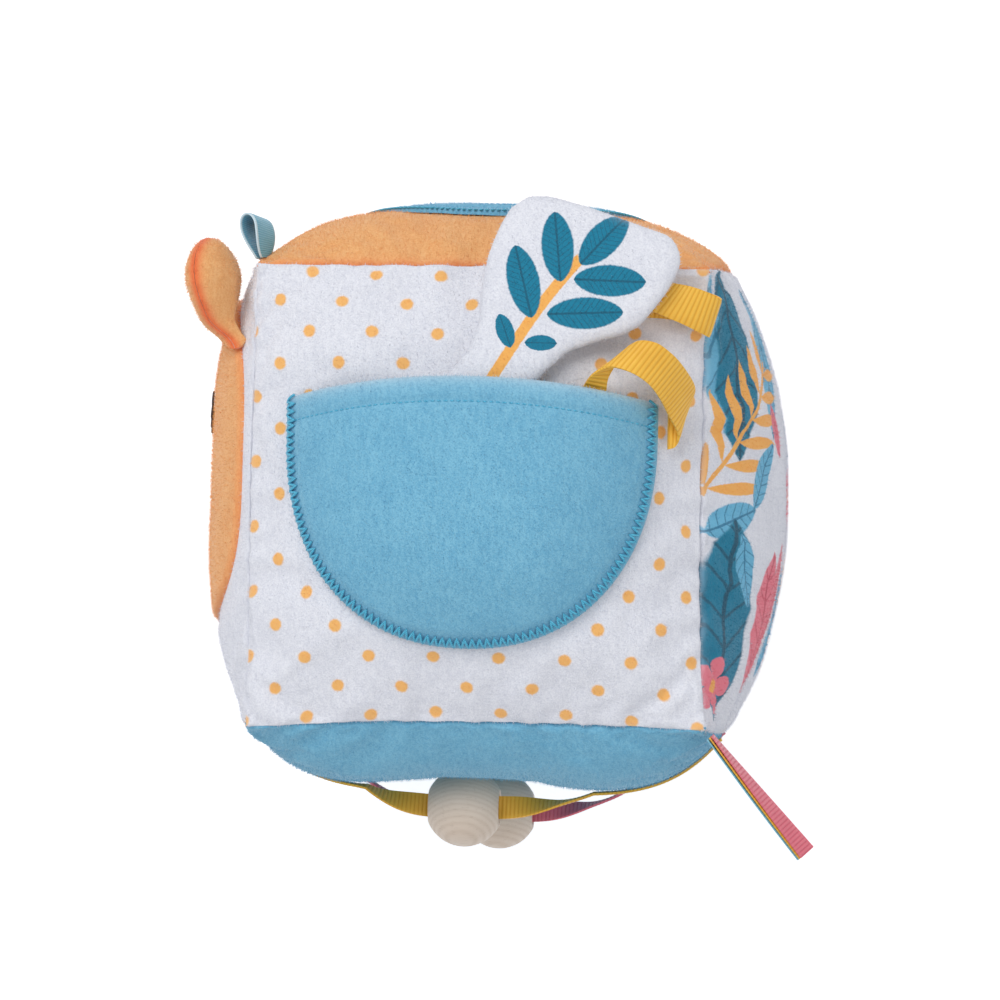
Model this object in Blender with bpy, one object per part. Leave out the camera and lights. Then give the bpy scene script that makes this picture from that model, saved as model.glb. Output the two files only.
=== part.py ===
# Soft fabric block: a stuffed cube lying on its back, pocket face up.
# The origin is the middle of the flat patch that it rests on, +Y points to the orange side.
import math

import bmesh
import bpy
from mathutils import Matrix, Vector

mm = 0.001

# Stuffed cube
seam_edge = 116.5 * mm          # corner to corner along every edge
right_bulge = 17.9 * mm         # crowns of the sides above the corners
left_bulge = 14.9 * mm
top_bulge = 16.5 * mm
bottom_bulge = 18.1 * mm
front_bulge = 15.25 * mm
back_bulge = 9.25 * mm          # pressed low by the weight
front_power = 3                 # the higher the power, the flatter the middle of that side
back_power = 6
right_power = 2.7
left_power = 3.6
top_power = 4.7
bottom_power = 5.1
seam_draw = 1.3 * mm            # how far the seams round the front and back are drawn in
edge_bow = 3 * mm               # how far the four standing seams belly out halfway
rest_cut = 0.5 * mm             # flat patch where the block stands
panel_cloth = 1.8 * mm
gap = 0.3 * mm                  # between pieces that touch
laid_gap = 0.5 * mm             # under a patch laid on a crowned panel
seam_gap = 0.25 * mm            # each panel stops this short of its seam
filling_clear = 0.8 * mm        # filling below the inside of the panels

# Pocket
pocket_width = 93.5 * mm
pocket_drop = 52.5 * mm         # from the widest line down to the lowest stitch
pocket_side = 9.5 * mm          # straight sides above the widest line
mouth_rise = 5.5 * mm
pocket_lift = 10 * mm           # how far the middle stands off the front
pocket_power = 2.2
pocket_rise_power = 3
pocket_cloth = 1.8 * mm
pocket_middle_x = -1.8 * mm
pocket_middle_y = 14 * mm

# Padded figure in the pocket
figure_length = 84 * mm
figure_width = 45 * mm
figure_in_pocket = 30 * mm      # length hidden behind the mouth
figure_cloth = 0.9 * mm
figure_puff = 1.6 * mm
figure_lean = math.radians(36)  # from +Y towards +X
figure_slope = 0.14             # fall towards the orange side
figure_stand_off = 1.7 * mm     # room for the ribbon behind the stem
figure_mouth_x = 4.3 * mm
figure_mouth_y = 29.4 * mm
wadding_width_share = 0.85      # wadding inside its two cloths
wadding_rim_share = 0.1
wadding_crown_share = 0.65

# Ribbon that ties the figure to the pocket
tether_width = 12 * mm
tether_cloth = 0.8 * mm

# Loop in the upper left seam
loop_width = 10 * mm
loop_height = 10.8 * mm
loop_spread = 2.8 * mm
loop_cloth = 0.7 * mm
loop_from_corner = 2.6 * mm
loop_clear = 1.7 * mm           # foot above the seam
loop_turn = math.radians(20)    # its inner edge swings back over the orange side
loop_lean = math.radians(12)

# Face side: round patch and two ears
patch_half_width = 54.5 * mm
patch_half_height = 43 * mm
patch_power = 3.6
patch_cloth = 1 * mm
patch_middle_y = 9 * mm
ear_length = 28.5 * mm
ear_width = 22 * mm
ear_cloth = 0.9 * mm
ear_puff = 3.6 * mm
ear_turn = math.radians(70)
ear_lean = math.radians(8)      # away from the block
ear_base_y = 36.5 * mm
ear_base_z = 53 * mm
ear_stand_off = 4 * mm

# Orange side: round mirror under a cloth ring
mirror_radius = 31 * mm
mirror_foil_thick = 0.5 * mm
ring_outer_radius = 38 * mm
ring_inner_radius = 26 * mm
ring_cloth = 1.2 * mm

# Beads on ribbons across the blue side
bead_radius = 10.4 * mm
bead_bore_radius = 3.8 * mm
bead_edge = 0.8 * mm            # rounding at the mouth of the bore
bead_ribbon_width = 6 * mm
bead_ribbon_cloth = 0.8 * mm
ribbon_row = 19 * mm            # each row's distance from the middle
ribbon_clear = 1 * mm           # ribbon's middle above the plush
ribbon_power = 3
front_left_reach = 26 * mm      # how far from its bead a ribbon leaves the plush
front_right_reach = 34 * mm
rear_reach = 38 * mm
front_groove_depth = 6.5 * mm   # hollows in the plush under the beads
rear_groove_depth = 3.5 * mm
front_groove_width = 18 * mm
rear_groove_width = 13 * mm
groove_length = 22 * mm
front_bead_y = -81.4 * mm
rear_bead_y = -84.7 * mm
front_bead_x = -6 * mm
rear_bead_x = 0 * mm
front_groove_x = -3 * mm
twist_start = 5 * mm            # from the bead on, the ribbon turns flat to the block
twist_end = 30 * mm

# Short ribbon tails at the lower right corner
tail_length = 38 * mm
tail_width = 6 * mm
tail_cloth = 0.4 * mm
tail_droop = 7 * mm
tail_spacing = 0.7 * mm
tail_clear = 1.6 * mm
tail_heading = math.radians(-50)
tail_base_turn = math.radians(3)
tail_end_turn = math.radians(42)

# Facets
cells = 12
row_cells = 9
lobe_cells = 8
tether_steps = 3
settle_rounds = 8
sharp_angle = math.radians(40)
pocket_columns = 20
patch_columns = 20
mirror_columns = 14
mirror_cells = 8
ring_sections = 36
bead_profile_steps = 12
bead_turns = 20
weld_distance = 0.01 * mm
end_angle = math.radians(1.5)   # a disc's first and last column stop short of its tip

half_edge = seam_edge / 2
centre_height = half_edge + back_bulge - rest_cut
half_pi = math.pi / 2

bulges = {"front": front_bulge, "back": back_bulge, "top": top_bulge,
          "bottom": bottom_bulge, "left": left_bulge, "right": right_bulge}
powers = {"front": front_power, "back": back_power, "top": top_power,
          "bottom": bottom_power, "left": left_power, "right": right_power}
face_turns = {"front": (0, 0, 0), "back": (0, math.pi, 0), "top": (-half_pi, 0, 0),
              "bottom": (half_pi, 0, 0), "left": (0, -half_pi, 0), "right": (0, half_pi, 0)}

# Grid lines along Z follow the two ribbon rows, so that the grooves keep their shape
depth_shares = (0, 0.14, 0.24, 0.33, 0.42, 0.54, 0.7, 0.86, 1)

# Outline of the figure: share of its length, then left and right edge as shares of its width
figure_shares = ((0, -0.06, 0.06), (0.012, -0.12, 0.12), (0.04, -0.17, 0.17), (0.1, -0.195, 0.195),
                 (0.19, -0.2, 0.2), (0.277, -0.205, 0.205), (0.371, -0.2, 0.21), (0.46, -0.247, 0.216),
                 (0.545, -0.351, 0.245), (0.632, -0.433, 0.355), (0.68, -0.462, 0.43),
                 (0.735, -0.488, 0.478), (0.794, -0.5, 0.482), (0.852, -0.458, 0.483),
                 (0.889, -0.364, 0.477), (0.91, -0.26, 0.47), (0.935, -0.13, 0.46),
                 (0.96, 0.03, 0.44), (0.98, 0.16, 0.405), (0.993, 0.24, 0.365), (1, 0.285, 0.325))

ear_shares = ((0, -0.13, 0.13), (0.1, -0.17, 0.16), (0.25, -0.3, 0.26), (0.42, -0.43, 0.4),
              (0.58, -0.49, 0.49), (0.72, -0.48, 0.49), (0.84, -0.4, 0.41), (0.93, -0.27, 0.28),
              (0.98, -0.14, 0.15), (1, -0.06, 0.06))

# Route of the tether: near edge, then far edge. Across and up are shares of half an edge,
# the rise above the front panel is a share of the ribbon's width.
tether_shares = (((0.68, 0.82, 0.69), (0.77, 0.94, 0.80)), ((0.73, 0.80, 0.68), (0.83, 0.92, 0.80)),
                 ((0.86, 0.75, 0.66), (0.93, 0.90, 0.82)), ((0.95, 0.71, 0.64), (1.00, 0.87, 0.78)),
                 ((0.98, 0.70, 0.46), (1.03, 0.86, 0.62)), ((0.95, 0.71, 0.34), (1.00, 0.87, 0.50)),
                 ((0.82, 0.72, 0.26), (0.86, 0.92, 0.50)), ((0.68, 0.71, 0.18), (0.69, 0.91, 0.44)),
                 ((0.53, 0.70, 0.13), (0.57, 0.89, 0.36)), ((0.40, 0.655, 0.10), (0.35, 0.85, 0.30)),
                 ((0.30, 0.56, 0.09), (0.14, 0.68, 0.12)), ((0.235, 0.46, 0.075), (0.035, 0.50, 0.075)),
                 ((0.215, 0.36, 0.075), (0.0, 0.36, 0.08)), ((0.235, 0.29, 0.085), (0.05, 0.19, 0.09)),
                 ((0.285, 0.26, 0.09), (0.20, 0.07, 0.10)), ((0.33, 0.285, 0.10), (0.385, 0.085, 0.12)),
                 ((0.37, 0.335, 0.13), (0.50, 0.19, 0.13)), ((0.41, 0.40, 0.22), (0.545, 0.34, 0.16)),
                 ((0.45, 0.455, 0.40), (0.555, 0.43, 0.34)), ((0.50, 0.515, 0.80), (0.57, 0.52, 0.66)),
                 ((0.57, 0.545, 1.12), (0.665, 0.645, 1.10)), ((0.66, 0.525, 1.26), (0.755, 0.655, 1.36)),
                 ((0.735, 0.48, 1.24), (0.83, 0.61, 1.36)), ((0.785, 0.42, 1.08), (0.885, 0.55, 1.16)),
                 ((0.825, 0.345, 0.82), (0.925, 0.48, 0.80)), ((0.86, 0.275, 0.54), (0.91, 0.43, 0.46)),
                 ((0.85, 0.225, 0.34), (0.87, 0.41, 0.30)), ((0.815, 0.21, 0.25), (0.815, 0.40, 0.25)))


def material(name, colour, roughness, metallic=0):
    finish = bpy.data.materials.new(name)
    finish.use_nodes = True
    shader = finish.node_tree.nodes["Principled BSDF"]
    shader.inputs["Base Color"].default_value = (*colour, 1)
    shader.inputs["Roughness"].default_value = roughness
    shader.inputs["Metallic"].default_value = metallic
    return finish


def place(name, shape, finish, pivot=Vector((0, 0, 0)), turn=(0, 0, 0)):
    """Turn a shape drawn around the block's middle into an object whose origin is its pivot."""
    shape.transform(Matrix.Translation(-pivot))
    bmesh.ops.triangulate(shape, faces=shape.faces, quad_method="LONG_EDGE")  # alike in every layer
    bmesh.ops.recalc_face_normals(shape, faces=shape.faces)
    mesh = bpy.data.meshes.new(name)
    shape.to_mesh(mesh)
    shape.free()
    mesh.shade_smooth()
    mesh.set_sharp_from_angle(angle=sharp_angle)
    mesh.materials.append(finish)
    piece = bpy.data.objects.new(name, mesh)
    bpy.context.collection.objects.link(piece)
    piece.location = pivot
    piece.rotation_euler = turn
    piece.parent = middle
    return piece


def loft(sections, closed_round=False):
    """Bridge sections of upper and lower rows, and close both ends with strips."""
    shape = bmesh.new()
    rows = [[shape.verts.new(point) for point in section] for section in sections]
    count = len(rows[0])
    following = rows[1:] + (rows[:1] if closed_round else [])
    for row, other in zip(rows, following):
        for step in range(count):
            after = (step + 1) % count
            shape.faces.new((row[step], row[after], other[after], other[step]))
    if not closed_round:
        for row in (rows[0], rows[-1]):
            for step in range(count // 2 - 1):
                shape.faces.new((row[step], row[step + 1], row[-2 - step], row[-1 - step]))
    return shape


def spaced(count):
    return [2 * step / count - 1 for step in range(count + 1)]


def mirrored(shares):
    return [-share for share in shares[:0:-1]] + list(shares)


def smooth(points, steps):
    """Points along a smooth curve through the given ones."""
    line = []
    for index in range(len(points) - 1):
        before = points[max(index - 1, 0)]
        start = points[index]
        end = points[index + 1]
        after = points[min(index + 2, len(points) - 1)]
        for step in range(steps):
            t = step / steps
            line.append((start * 2 + (end - before) * t + (before * 2 - start * 5 + end * 4 - after) * t**2
                         + (start * 3 - before - end * 3 + after) * t**3) / 2)
    return line + [points[-1]]


# Skin of the stuffed cube
def swell(share, power):
    return 1 - abs(share)**power


def drawn(share):
    """Seams round the front and back, drawn in towards the middle."""
    return -seam_draw * (1 - share**2)


def bellied(share):
    """Standing seams, bellied out halfway between front and back."""
    return edge_bow * (1 - share**2)


def seam_bows(face, across, up):
    """Outward bow of the seams at the ends of the across line and of the up line."""
    if face in ("front", "back"):
        return drawn(up), drawn(across)
    return (bellied(up), drawn(across)) if face in ("top", "bottom") else (drawn(up), bellied(across))


def hollow(x, z, middle_x, middle_z, depth, width):
    return depth * math.exp(-((z - middle_z) / width)**2 - (abs(x - middle_x) / groove_length)**3)


def bead_hollows(x, z):
    """Dents in the blue side under the travel of the beads."""
    front = hollow(x, z, front_groove_x, ribbon_row, front_groove_depth, front_groove_width)
    return front + hollow(x, z, rear_bead_x, -ribbon_row, rear_groove_depth, rear_groove_width)


def skin_point(face, across, up, depth=0, trim=0):
    """Point of a face's skin in that face's own frame, at a depth below its outside."""
    half = half_edge - depth
    power = powers[face]
    side_bow, end_bow = seam_bows(face, across, up)
    height = half + bulges[face] * swell(across, power) * swell(up, power)
    height += side_bow * across**4 + end_bow * up**4
    if face == "bottom":
        dent = bead_hollows(across * half_edge, up * half_edge)
        height -= dent * swell(across, bottom_power) * swell(up, bottom_power)
    if face == "back":
        height = min(height, half + back_bulge - rest_cut)
    flat_x = across * (half - trim + side_bow * across**2)
    flat_y = up * (half - trim + end_bow * up**2)
    return Vector((flat_x, flat_y, height))


def skin_height(face, x, y):
    """Height of a face's outside above the block's middle, over a place in its frame."""
    across = x / half_edge
    up = y / half_edge
    for _ in range(settle_rounds):
        side_bow, end_bow = seam_bows(face, across, up)
        across, up = (max(-1, min(1, x / (half_edge + side_bow * across**2))),
                      max(-1, min(1, y / (half_edge + end_bow * up**2))))
    return skin_point(face, across, up).z


def grid_lines(face):
    even = spaced(cells)
    rows = mirrored(depth_shares)
    if face in ("front", "back"):
        return even, even
    return (even, rows) if face in ("top", "bottom") else (rows, even)


def panel(face, finish):
    columns, rows = grid_lines(face)
    sections = []
    for across in columns:
        outer = [skin_point(face, across, up, 0, seam_gap) for up in rows]
        inner = [skin_point(face, across, up, panel_cloth, seam_gap) for up in rows]
        sections.append(outer + inner[::-1])
    return place(face + "_panel", loft(sections), finish, turn=face_turns[face])


def filling(finish):
    shape = bmesh.new()
    for face in bulges:
        columns, rows = grid_lines(face)
        turn = bpy.data.objects[face + "_panel"].rotation_euler.to_matrix()
        grid = [[shape.verts.new(turn @ skin_point(face, across, up, panel_cloth + filling_clear))
                 for up in rows] for across in columns]
        for column, following in zip(grid, grid[1:]):
            for step in range(len(rows) - 1):
                shape.faces.new((column[step], following[step], following[step + 1], column[step + 1]))
    bmesh.ops.remove_doubles(shape, verts=shape.verts, dist=weld_distance)
    return place("fibre_filling", shape, finish)


# Pieces that lie on a panel
def laid_disc(name, face, half_width, half_height, power, middle_y, cloth, finish, columns, rows):
    """Round patch that follows its panel, cut in columns."""
    sections = []
    for turn in spaced(columns):
        share = math.sin(turn * (half_pi - end_angle))
        reach = half_height * (1 - abs(share)**power)**(1 / power)
        places = [(share * half_width, middle_y + reach * up) for up in spaced(rows)]
        lower = [Vector((x, y, skin_height(face, x, y) + laid_gap)) for x, y in places]
        upper = [point + Vector((0, 0, cloth)) for point in lower]
        sections.append(upper + lower[::-1])
    return place(name, loft(sections), finish, turn=face_turns[face])


def mirror_ring(finish):
    """Cloth ring that laps over the mirror's edge and lies on the panel outside it."""
    over_foil = mirror_foil_thick + gap
    lap = mirror_radius + over_foil
    profile = ((ring_inner_radius, over_foil), (mirror_radius, over_foil), (lap + over_foil, 0),
               (ring_outer_radius, 0))
    sections = []
    for section in range(ring_sections):
        angle = 2 * math.pi * section / ring_sections
        lower = []
        for radius, rise in profile:
            x = radius * math.cos(angle)
            y = radius * math.sin(angle)
            lower.append(Vector((x, y, skin_height("top", x, y) + laid_gap + rise)))
        upper = [point + Vector((0, 0, ring_cloth)) for point in lower]
        sections.append(upper + lower[::-1])
    return place("mirror_ring", loft(sections, closed_round=True), finish, turn=face_turns["top"])


# Pocket
def pocket_low(x_share):
    return pocket_middle_y - pocket_drop * (1 - abs(x_share)**pocket_power)**(1 / pocket_power)


def pocket_high(x_share):
    return pocket_middle_y + pocket_side + mouth_rise * (1 - x_share**2)


def pocket_rise(x_share, y):
    """How far the pocket stands off the front: nothing at the stitches, most in the middle."""
    below = max(0, pocket_middle_y - y) / pocket_drop
    rim_share = (abs(x_share)**pocket_power + below**pocket_power)**(1 / pocket_power)
    return pocket_lift * max(0, 1 - rim_share**pocket_rise_power)


def pocket(finish):
    sections = []
    for turn in spaced(pocket_columns):
        share = math.sin(turn * half_pi)
        x = pocket_middle_x + share * pocket_width / 2
        low = pocket_low(share)
        high = pocket_high(share)
        lower = []
        for up in spaced(row_cells):
            y = low + (high - low) * (up + 1) / 2
            lower.append(Vector((x, y, skin_height("front", x, y) + gap + pocket_rise(share, y))))
        upper = [point + Vector((0, 0, pocket_cloth)) for point in lower]
        sections.append(upper + lower[::-1])
    return place("pocket_panel", loft(sections), finish)


# Padded lobes: two cloth layers sewn round a thin wadding
def lobe(names, finishes, frame, shares, length, width, cloth, puff, pivot):
    """Figure or ear. frame turns (across, along, out) into the block's frame."""
    layer_steps = [-math.cos(math.pi * step / lobe_cells) for step in range(lobe_cells + 1)]
    front, back, wadding = [], [], []
    for along, left, right in shares:
        half = (right - left) * width / 2
        middle_line = (right + left) * width / 2
        fullness = puff * half / (half + puff)
        for layer, side in ((front, 1), (back, -1)):
            inner = []
            outer = []
            for step in layer_steps:
                out = gap / 2 + fullness * math.sqrt(1 - step**2)
                inner.append(frame @ Vector((middle_line + half * step, along * length, side * out)))
                outer.append(frame @ Vector((middle_line + half * step, along * length,
                                             side * (out + cloth))))
            layer.append(outer + inner[::-1])
        upper = []
        lower = []
        for step in layer_steps:
            x = middle_line + half * wadding_width_share * step
            out = fullness * (wadding_rim_share + wadding_crown_share * math.sqrt(1 - step**2))
            upper.append(frame @ Vector((x, along * length, out)))
            lower.append(frame @ Vector((x, along * length, -out)))
        wadding.append(upper + lower[::-1])
    for name, finish, sections in zip(names, finishes, (front, back, wadding[2:-2])):
        place(name, loft(sections), finish, pivot)


def frame_from(origin, across, along):
    across = across.normalized()
    along = along.normalized()
    out = across.cross(along)
    turn = Matrix((across, along, out)).transposed().to_4x4()
    return Matrix.Translation(origin) @ turn


def figure(finishes):
    slope = Vector((0, -figure_slope, 0))
    along = Vector((math.sin(figure_lean), math.cos(figure_lean), 0))
    across = Vector((along.y, -along.x, 0))
    along.z = slope.dot(along)
    across.z = slope.dot(across)
    across -= along * (across.dot(along) / along.length_squared)
    half_thick = gap / 2 + figure_puff + figure_cloth
    mouth_height = skin_height("front", figure_mouth_x, figure_mouth_y) + figure_stand_off + half_thick
    mouth = Vector((figure_mouth_x, figure_mouth_y, mouth_height))
    start = mouth - along.normalized() * figure_in_pocket
    names = ("figure_front", "figure_back", "figure_wadding")
    lobe(names, finishes, frame_from(start, across, along), figure_shares,
         figure_length, figure_width, figure_cloth, figure_puff, mouth)


def ear(side, prefix, finishes):
    """side is 1 for the ear next to the pocket face and -1 for the one at the back."""
    surface = skin_height("left", ear_base_z, ear_base_y) + laid_gap + patch_cloth
    base = Vector((-surface - ear_stand_off, ear_base_y, side * ear_base_z))
    along = Vector((-math.sin(ear_lean), math.cos(ear_lean), 0))
    across = Vector((1, math.tan(ear_lean), -side * math.tan(ear_turn))) * math.cos(ear_turn)
    names = [prefix + part for part in ("_front", "_back", "_wadding")]
    lobe(names, finishes, frame_from(base, across, along), ear_shares,
         ear_length, ear_width, ear_cloth, ear_puff, base)


# Ribbons
def strip(near, far, cloth):
    """Flat ribbon between two edge lines."""
    sections = []
    for index in range(len(near)):
        before = max(index - 1, 0)
        after = min(index + 1, len(near) - 1)
        travel = (near[after] + far[after]) - (near[before] + far[before])
        out = travel.cross(far[index] - near[index]).normalized() * (cloth / 2)
        sections.append([near[index] + out, far[index] + out, far[index] - out, near[index] - out])
    return loft(sections)


def tether(finish):
    edges = []
    for side in range(2):
        points = []
        for station in tether_shares:
            across, up, rise = station[side]
            x = across * half_edge
            y = up * half_edge
            points.append(Vector((x, y, skin_height("front", x, y) + rise * tether_width)))
        edges.append(smooth(points, tether_steps))
    return place("tether_ribbon", strip(edges[0], edges[1], tether_cloth), finish)


def bead_ribbon(name, row, bead_x, bead_y, left_reach, right_reach, finish):
    """Ribbon from seam to seam along the blue side that leaves it for its bead, edge-on inside."""
    near = []
    far = []
    seam_line = half_edge + bellied(row / half_edge)
    for share in spaced(2 * cells):
        x = share * (seam_line + gap)
        away = abs(x - bead_x)
        close = skin_height("bottom", x, row) + bead_hollows(x, row) + ribbon_clear
        lift = max(0, 1 - (away / (left_reach if x < bead_x else right_reach))**ribbon_power)
        twist = max(0, min(1, (away - twist_start) / (twist_end - twist_start)))
        turn = half_pi * (1 - twist**2 * (3 - 2 * twist))
        side = Vector((0, -math.sin(turn), math.cos(turn))) * (bead_ribbon_width / 2)
        point = Vector((x, bead_y * lift - close * (1 - lift), row))
        near.append(point - side)
        far.append(point + side)
    return place(name, strip(near, far, bead_ribbon_cloth), finish)


def bead(name, row, x, y, finish):
    """Turned ball with a bore along X."""
    start = math.asin((bead_bore_radius + bead_edge) / bead_radius)
    profile = [Vector((-bead_radius * math.cos(start) + bead_edge, bead_bore_radius, 0))]
    for step in range(bead_profile_steps + 1):
        angle = start + (math.pi - 2 * start) * step / bead_profile_steps
        profile.append(Vector((-bead_radius * math.cos(angle), bead_radius * math.sin(angle), 0)))
    profile.append(Vector((bead_radius * math.cos(start) - bead_edge, bead_bore_radius, 0)))
    shape = bmesh.new()
    ring = [shape.verts.new(point) for point in profile]
    edges = [shape.edges.new(pair) for pair in zip(ring, ring[1:] + ring[:1])]
    bmesh.ops.spin(shape, geom=ring + edges, cent=(0, 0, 0), axis=(1, 0, 0),
                   angle=2 * math.pi, steps=bead_turns, use_merge=True)
    bmesh.ops.remove_doubles(shape, verts=shape.verts, dist=weld_distance)
    middle_of_bead = Vector((x, y, row))
    shape.transform(Matrix.Translation(middle_of_bead))
    return place(name, shape, finish, middle_of_bead)


def hang_loop(finish):
    """Ribbon folded into a drop, sewn into the seam between the face side and the orange side."""
    depth = half_edge - loop_from_corner - loop_width * math.cos(loop_turn) / 2
    seam = half_edge + bellied(depth / half_edge)
    foot = Vector((-seam, seam + loop_clear, depth))
    up = Vector((-math.sin(loop_lean), math.cos(loop_lean), 0))
    back = Vector((math.sin(loop_turn), math.sin(loop_turn) * math.tan(loop_lean), -math.cos(loop_turn)))
    back.normalize()
    sideways = up.cross(back)
    near = []
    far = []
    for step in range(2 * cells + 1):
        angle = 2 * math.pi * step / (2 * cells)
        swing = loop_spread * math.sin(angle) * math.sin(angle / 2)**2
        spread = -swing - loop_cloth * math.cos(angle / 2)
        point = foot + sideways * spread + up * (loop_height * (1 - math.cos(angle)) / 2)
        near.append(point - back * (loop_width / 2))
        far.append(point + back * (loop_width / 2))
    return place("hang_loop", strip(near, far, loop_cloth), finish, foot)


def tail(name, rank, finish):
    """Short ribbon end that leaves the corner, turns its face up and sags a little."""
    heading = Vector((math.cos(tail_heading), math.sin(tail_heading), 0))
    sideways = Vector((-heading.y, heading.x, 0))
    upwards = Vector((0, 0, 1))
    corner = Vector((half_edge, -half_edge, half_edge)) + heading * tail_clear
    near = []
    far = []
    middle_line = []
    for step in range(cells + 1):
        share = step / cells
        turn = tail_base_turn + (tail_end_turn - tail_base_turn) * share
        face = sideways * math.cos(turn) + upwards * math.sin(turn)
        width = (upwards * math.cos(turn) - sideways * math.sin(turn)) * (tail_width / 2)
        point = corner + heading * (tail_length * share) - upwards * (tail_droop * share**2)
        point += face * (rank * tail_spacing)
        middle_line.append(point)
        near.append(point - width)
        far.append(point + width)
    return place(name, strip(near, far, tail_cloth), finish, middle_line[0])


for leftover in list(bpy.data.objects):
    bpy.data.objects.remove(leftover)
middle = bpy.data.objects.new("block_middle", None)
bpy.context.collection.objects.link(middle)
middle.location = (0, 0, centre_height)

white_plush = material("white_plush", (0.86, 0.87, 0.90), 0.9)
print_cloth = material("leaf_print", (0.75, 0.82, 0.86), 0.85)
orange_plush = material("orange_plush", (0.90, 0.52, 0.22), 0.9)
blue_plush = material("blue_plush", (0.20, 0.50, 0.67), 0.9)
fibre = material("fibre", (0.92, 0.92, 0.92), 1)
yellow_ribbon = material("yellow_ribbon", (0.85, 0.45, 0.04), 0.55)
pink_ribbon = material("pink_ribbon", (0.80, 0.20, 0.24), 0.55)
satin = material("blue_satin", (0.30, 0.62, 0.74), 0.4)
beech = material("pale_wood", (0.62, 0.52, 0.40), 0.6)
foil = material("mirror_foil", (0.85, 0.87, 0.90), 0.08, 1)

panel("front", white_plush)
panel("back", print_cloth)
panel("top", orange_plush)
panel("bottom", blue_plush)
panel("left", white_plush)
panel("right", print_cloth)
filling(fibre)

laid_disc("face_patch", "left", patch_half_width, patch_half_height, patch_power, patch_middle_y,
          patch_cloth, orange_plush, patch_columns, cells)
ear(1, "front_ear", (orange_plush, orange_plush, fibre))
ear(-1, "rear_ear", (orange_plush, orange_plush, fibre))

laid_disc("mirror_foil", "top", mirror_radius, mirror_radius, 2, 0, mirror_foil_thick, foil,
          mirror_columns, mirror_cells)
mirror_ring(blue_plush)

pocket(blue_plush)
figure((white_plush, white_plush, fibre))
tether(yellow_ribbon)
hang_loop(satin)

bead_ribbon("front_bead_ribbon", ribbon_row, front_bead_x, front_bead_y,
            front_left_reach, front_right_reach, yellow_ribbon)
bead_ribbon("rear_bead_ribbon", -ribbon_row, rear_bead_x, rear_bead_y,
            rear_reach, rear_reach, pink_ribbon)
bead("front_bead", ribbon_row, front_bead_x, front_bead_y, beech)
bead("rear_bead", -ribbon_row, rear_bead_x, rear_bead_y, beech)

tail("pink_tail", 1, pink_ribbon)
tail("yellow_tail", 0, yellow_ribbon)
tail("blue_tail", -1, satin)
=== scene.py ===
# Soft fabric block: cloth, ribbon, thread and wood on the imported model
import math

import bmesh
import bpy
import numpy as np
from mathutils import Matrix, Vector, noise


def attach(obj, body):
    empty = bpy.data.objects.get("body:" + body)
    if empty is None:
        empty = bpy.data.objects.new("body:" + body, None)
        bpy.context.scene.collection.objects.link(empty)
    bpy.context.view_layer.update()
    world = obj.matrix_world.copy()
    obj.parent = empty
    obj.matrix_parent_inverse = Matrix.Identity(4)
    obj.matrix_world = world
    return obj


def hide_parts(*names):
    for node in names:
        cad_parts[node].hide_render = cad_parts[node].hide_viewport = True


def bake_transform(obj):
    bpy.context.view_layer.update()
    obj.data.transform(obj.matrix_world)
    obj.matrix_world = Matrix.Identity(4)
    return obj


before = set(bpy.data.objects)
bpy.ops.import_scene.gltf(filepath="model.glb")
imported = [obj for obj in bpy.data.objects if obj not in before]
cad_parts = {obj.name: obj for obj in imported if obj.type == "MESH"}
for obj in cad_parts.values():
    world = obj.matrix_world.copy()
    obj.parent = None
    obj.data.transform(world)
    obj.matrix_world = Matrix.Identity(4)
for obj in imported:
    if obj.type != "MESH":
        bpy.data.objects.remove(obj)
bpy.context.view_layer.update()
print("frame loaded")

mm = 0.001               # shapes below are drawn in millimetres round the block's middle
middleHeight = 67.0      # that middle above the floor
halfEdge = 58.25         # half of a cube edge, corner to corner


def smoothStep(value, low, high):
    share = np.clip((value - low) / (high - low), 0, 1)
    return share * share * (3 - 2 * share)


def bumpy(points, size, seed=0.0):
    # soft noise from -1 to 1, one lump about every size millimetres
    flat = np.asarray(points, float).reshape(-1, 3) / size + seed
    values = [noise.noise(Vector(point)) for point in flat]
    return np.array(values).reshape(np.asarray(points).shape[:-1])


# Meshes
def makePiece(name, points, faces, finish, uv=None, masks=None, sharp=55):
    mesh = bpy.data.meshes.new(name)
    world = np.array(points, float).reshape(-1, 3)
    world[:, 2] += middleHeight
    mesh.from_pydata((world * mm).tolist(), [], faces)
    if uv is not None:
        layer = mesh.uv_layers.new(name="weave")
        corners = np.empty(len(mesh.loops), dtype=np.int32)
        mesh.loops.foreach_get("vertex_index", corners)
        layer.data.foreach_set("uv", np.asarray(uv, np.float32)[corners].ravel())
    for key, values in (masks or {}).items():
        layer = mesh.attributes.new(key, "FLOAT", "POINT")
        layer.data.foreach_set("value", np.asarray(values, np.float32).ravel())
    shape = bmesh.new()
    shape.from_mesh(mesh)
    bmesh.ops.recalc_face_normals(shape, faces=shape.faces)
    shape.to_mesh(mesh)
    shape.free()
    mesh.shade_smooth()
    mesh.set_sharp_from_angle(angle=math.radians(sharp))
    mesh.materials.append(finish)
    piece = bpy.data.objects.new(name, mesh)
    bpy.context.collection.objects.link(piece)
    return piece


def normalsOf(grid, outward):
    across = np.gradient(grid, axis=0)
    along = np.gradient(grid, axis=1)
    normal = np.cross(across, along)
    normal /= np.linalg.norm(normal, axis=-1, keepdims=True) + 1e-12
    side = np.sign((normal * outward).sum(axis=-1, keepdims=True))
    return normal * np.where(side == 0, 1, side)


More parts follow.
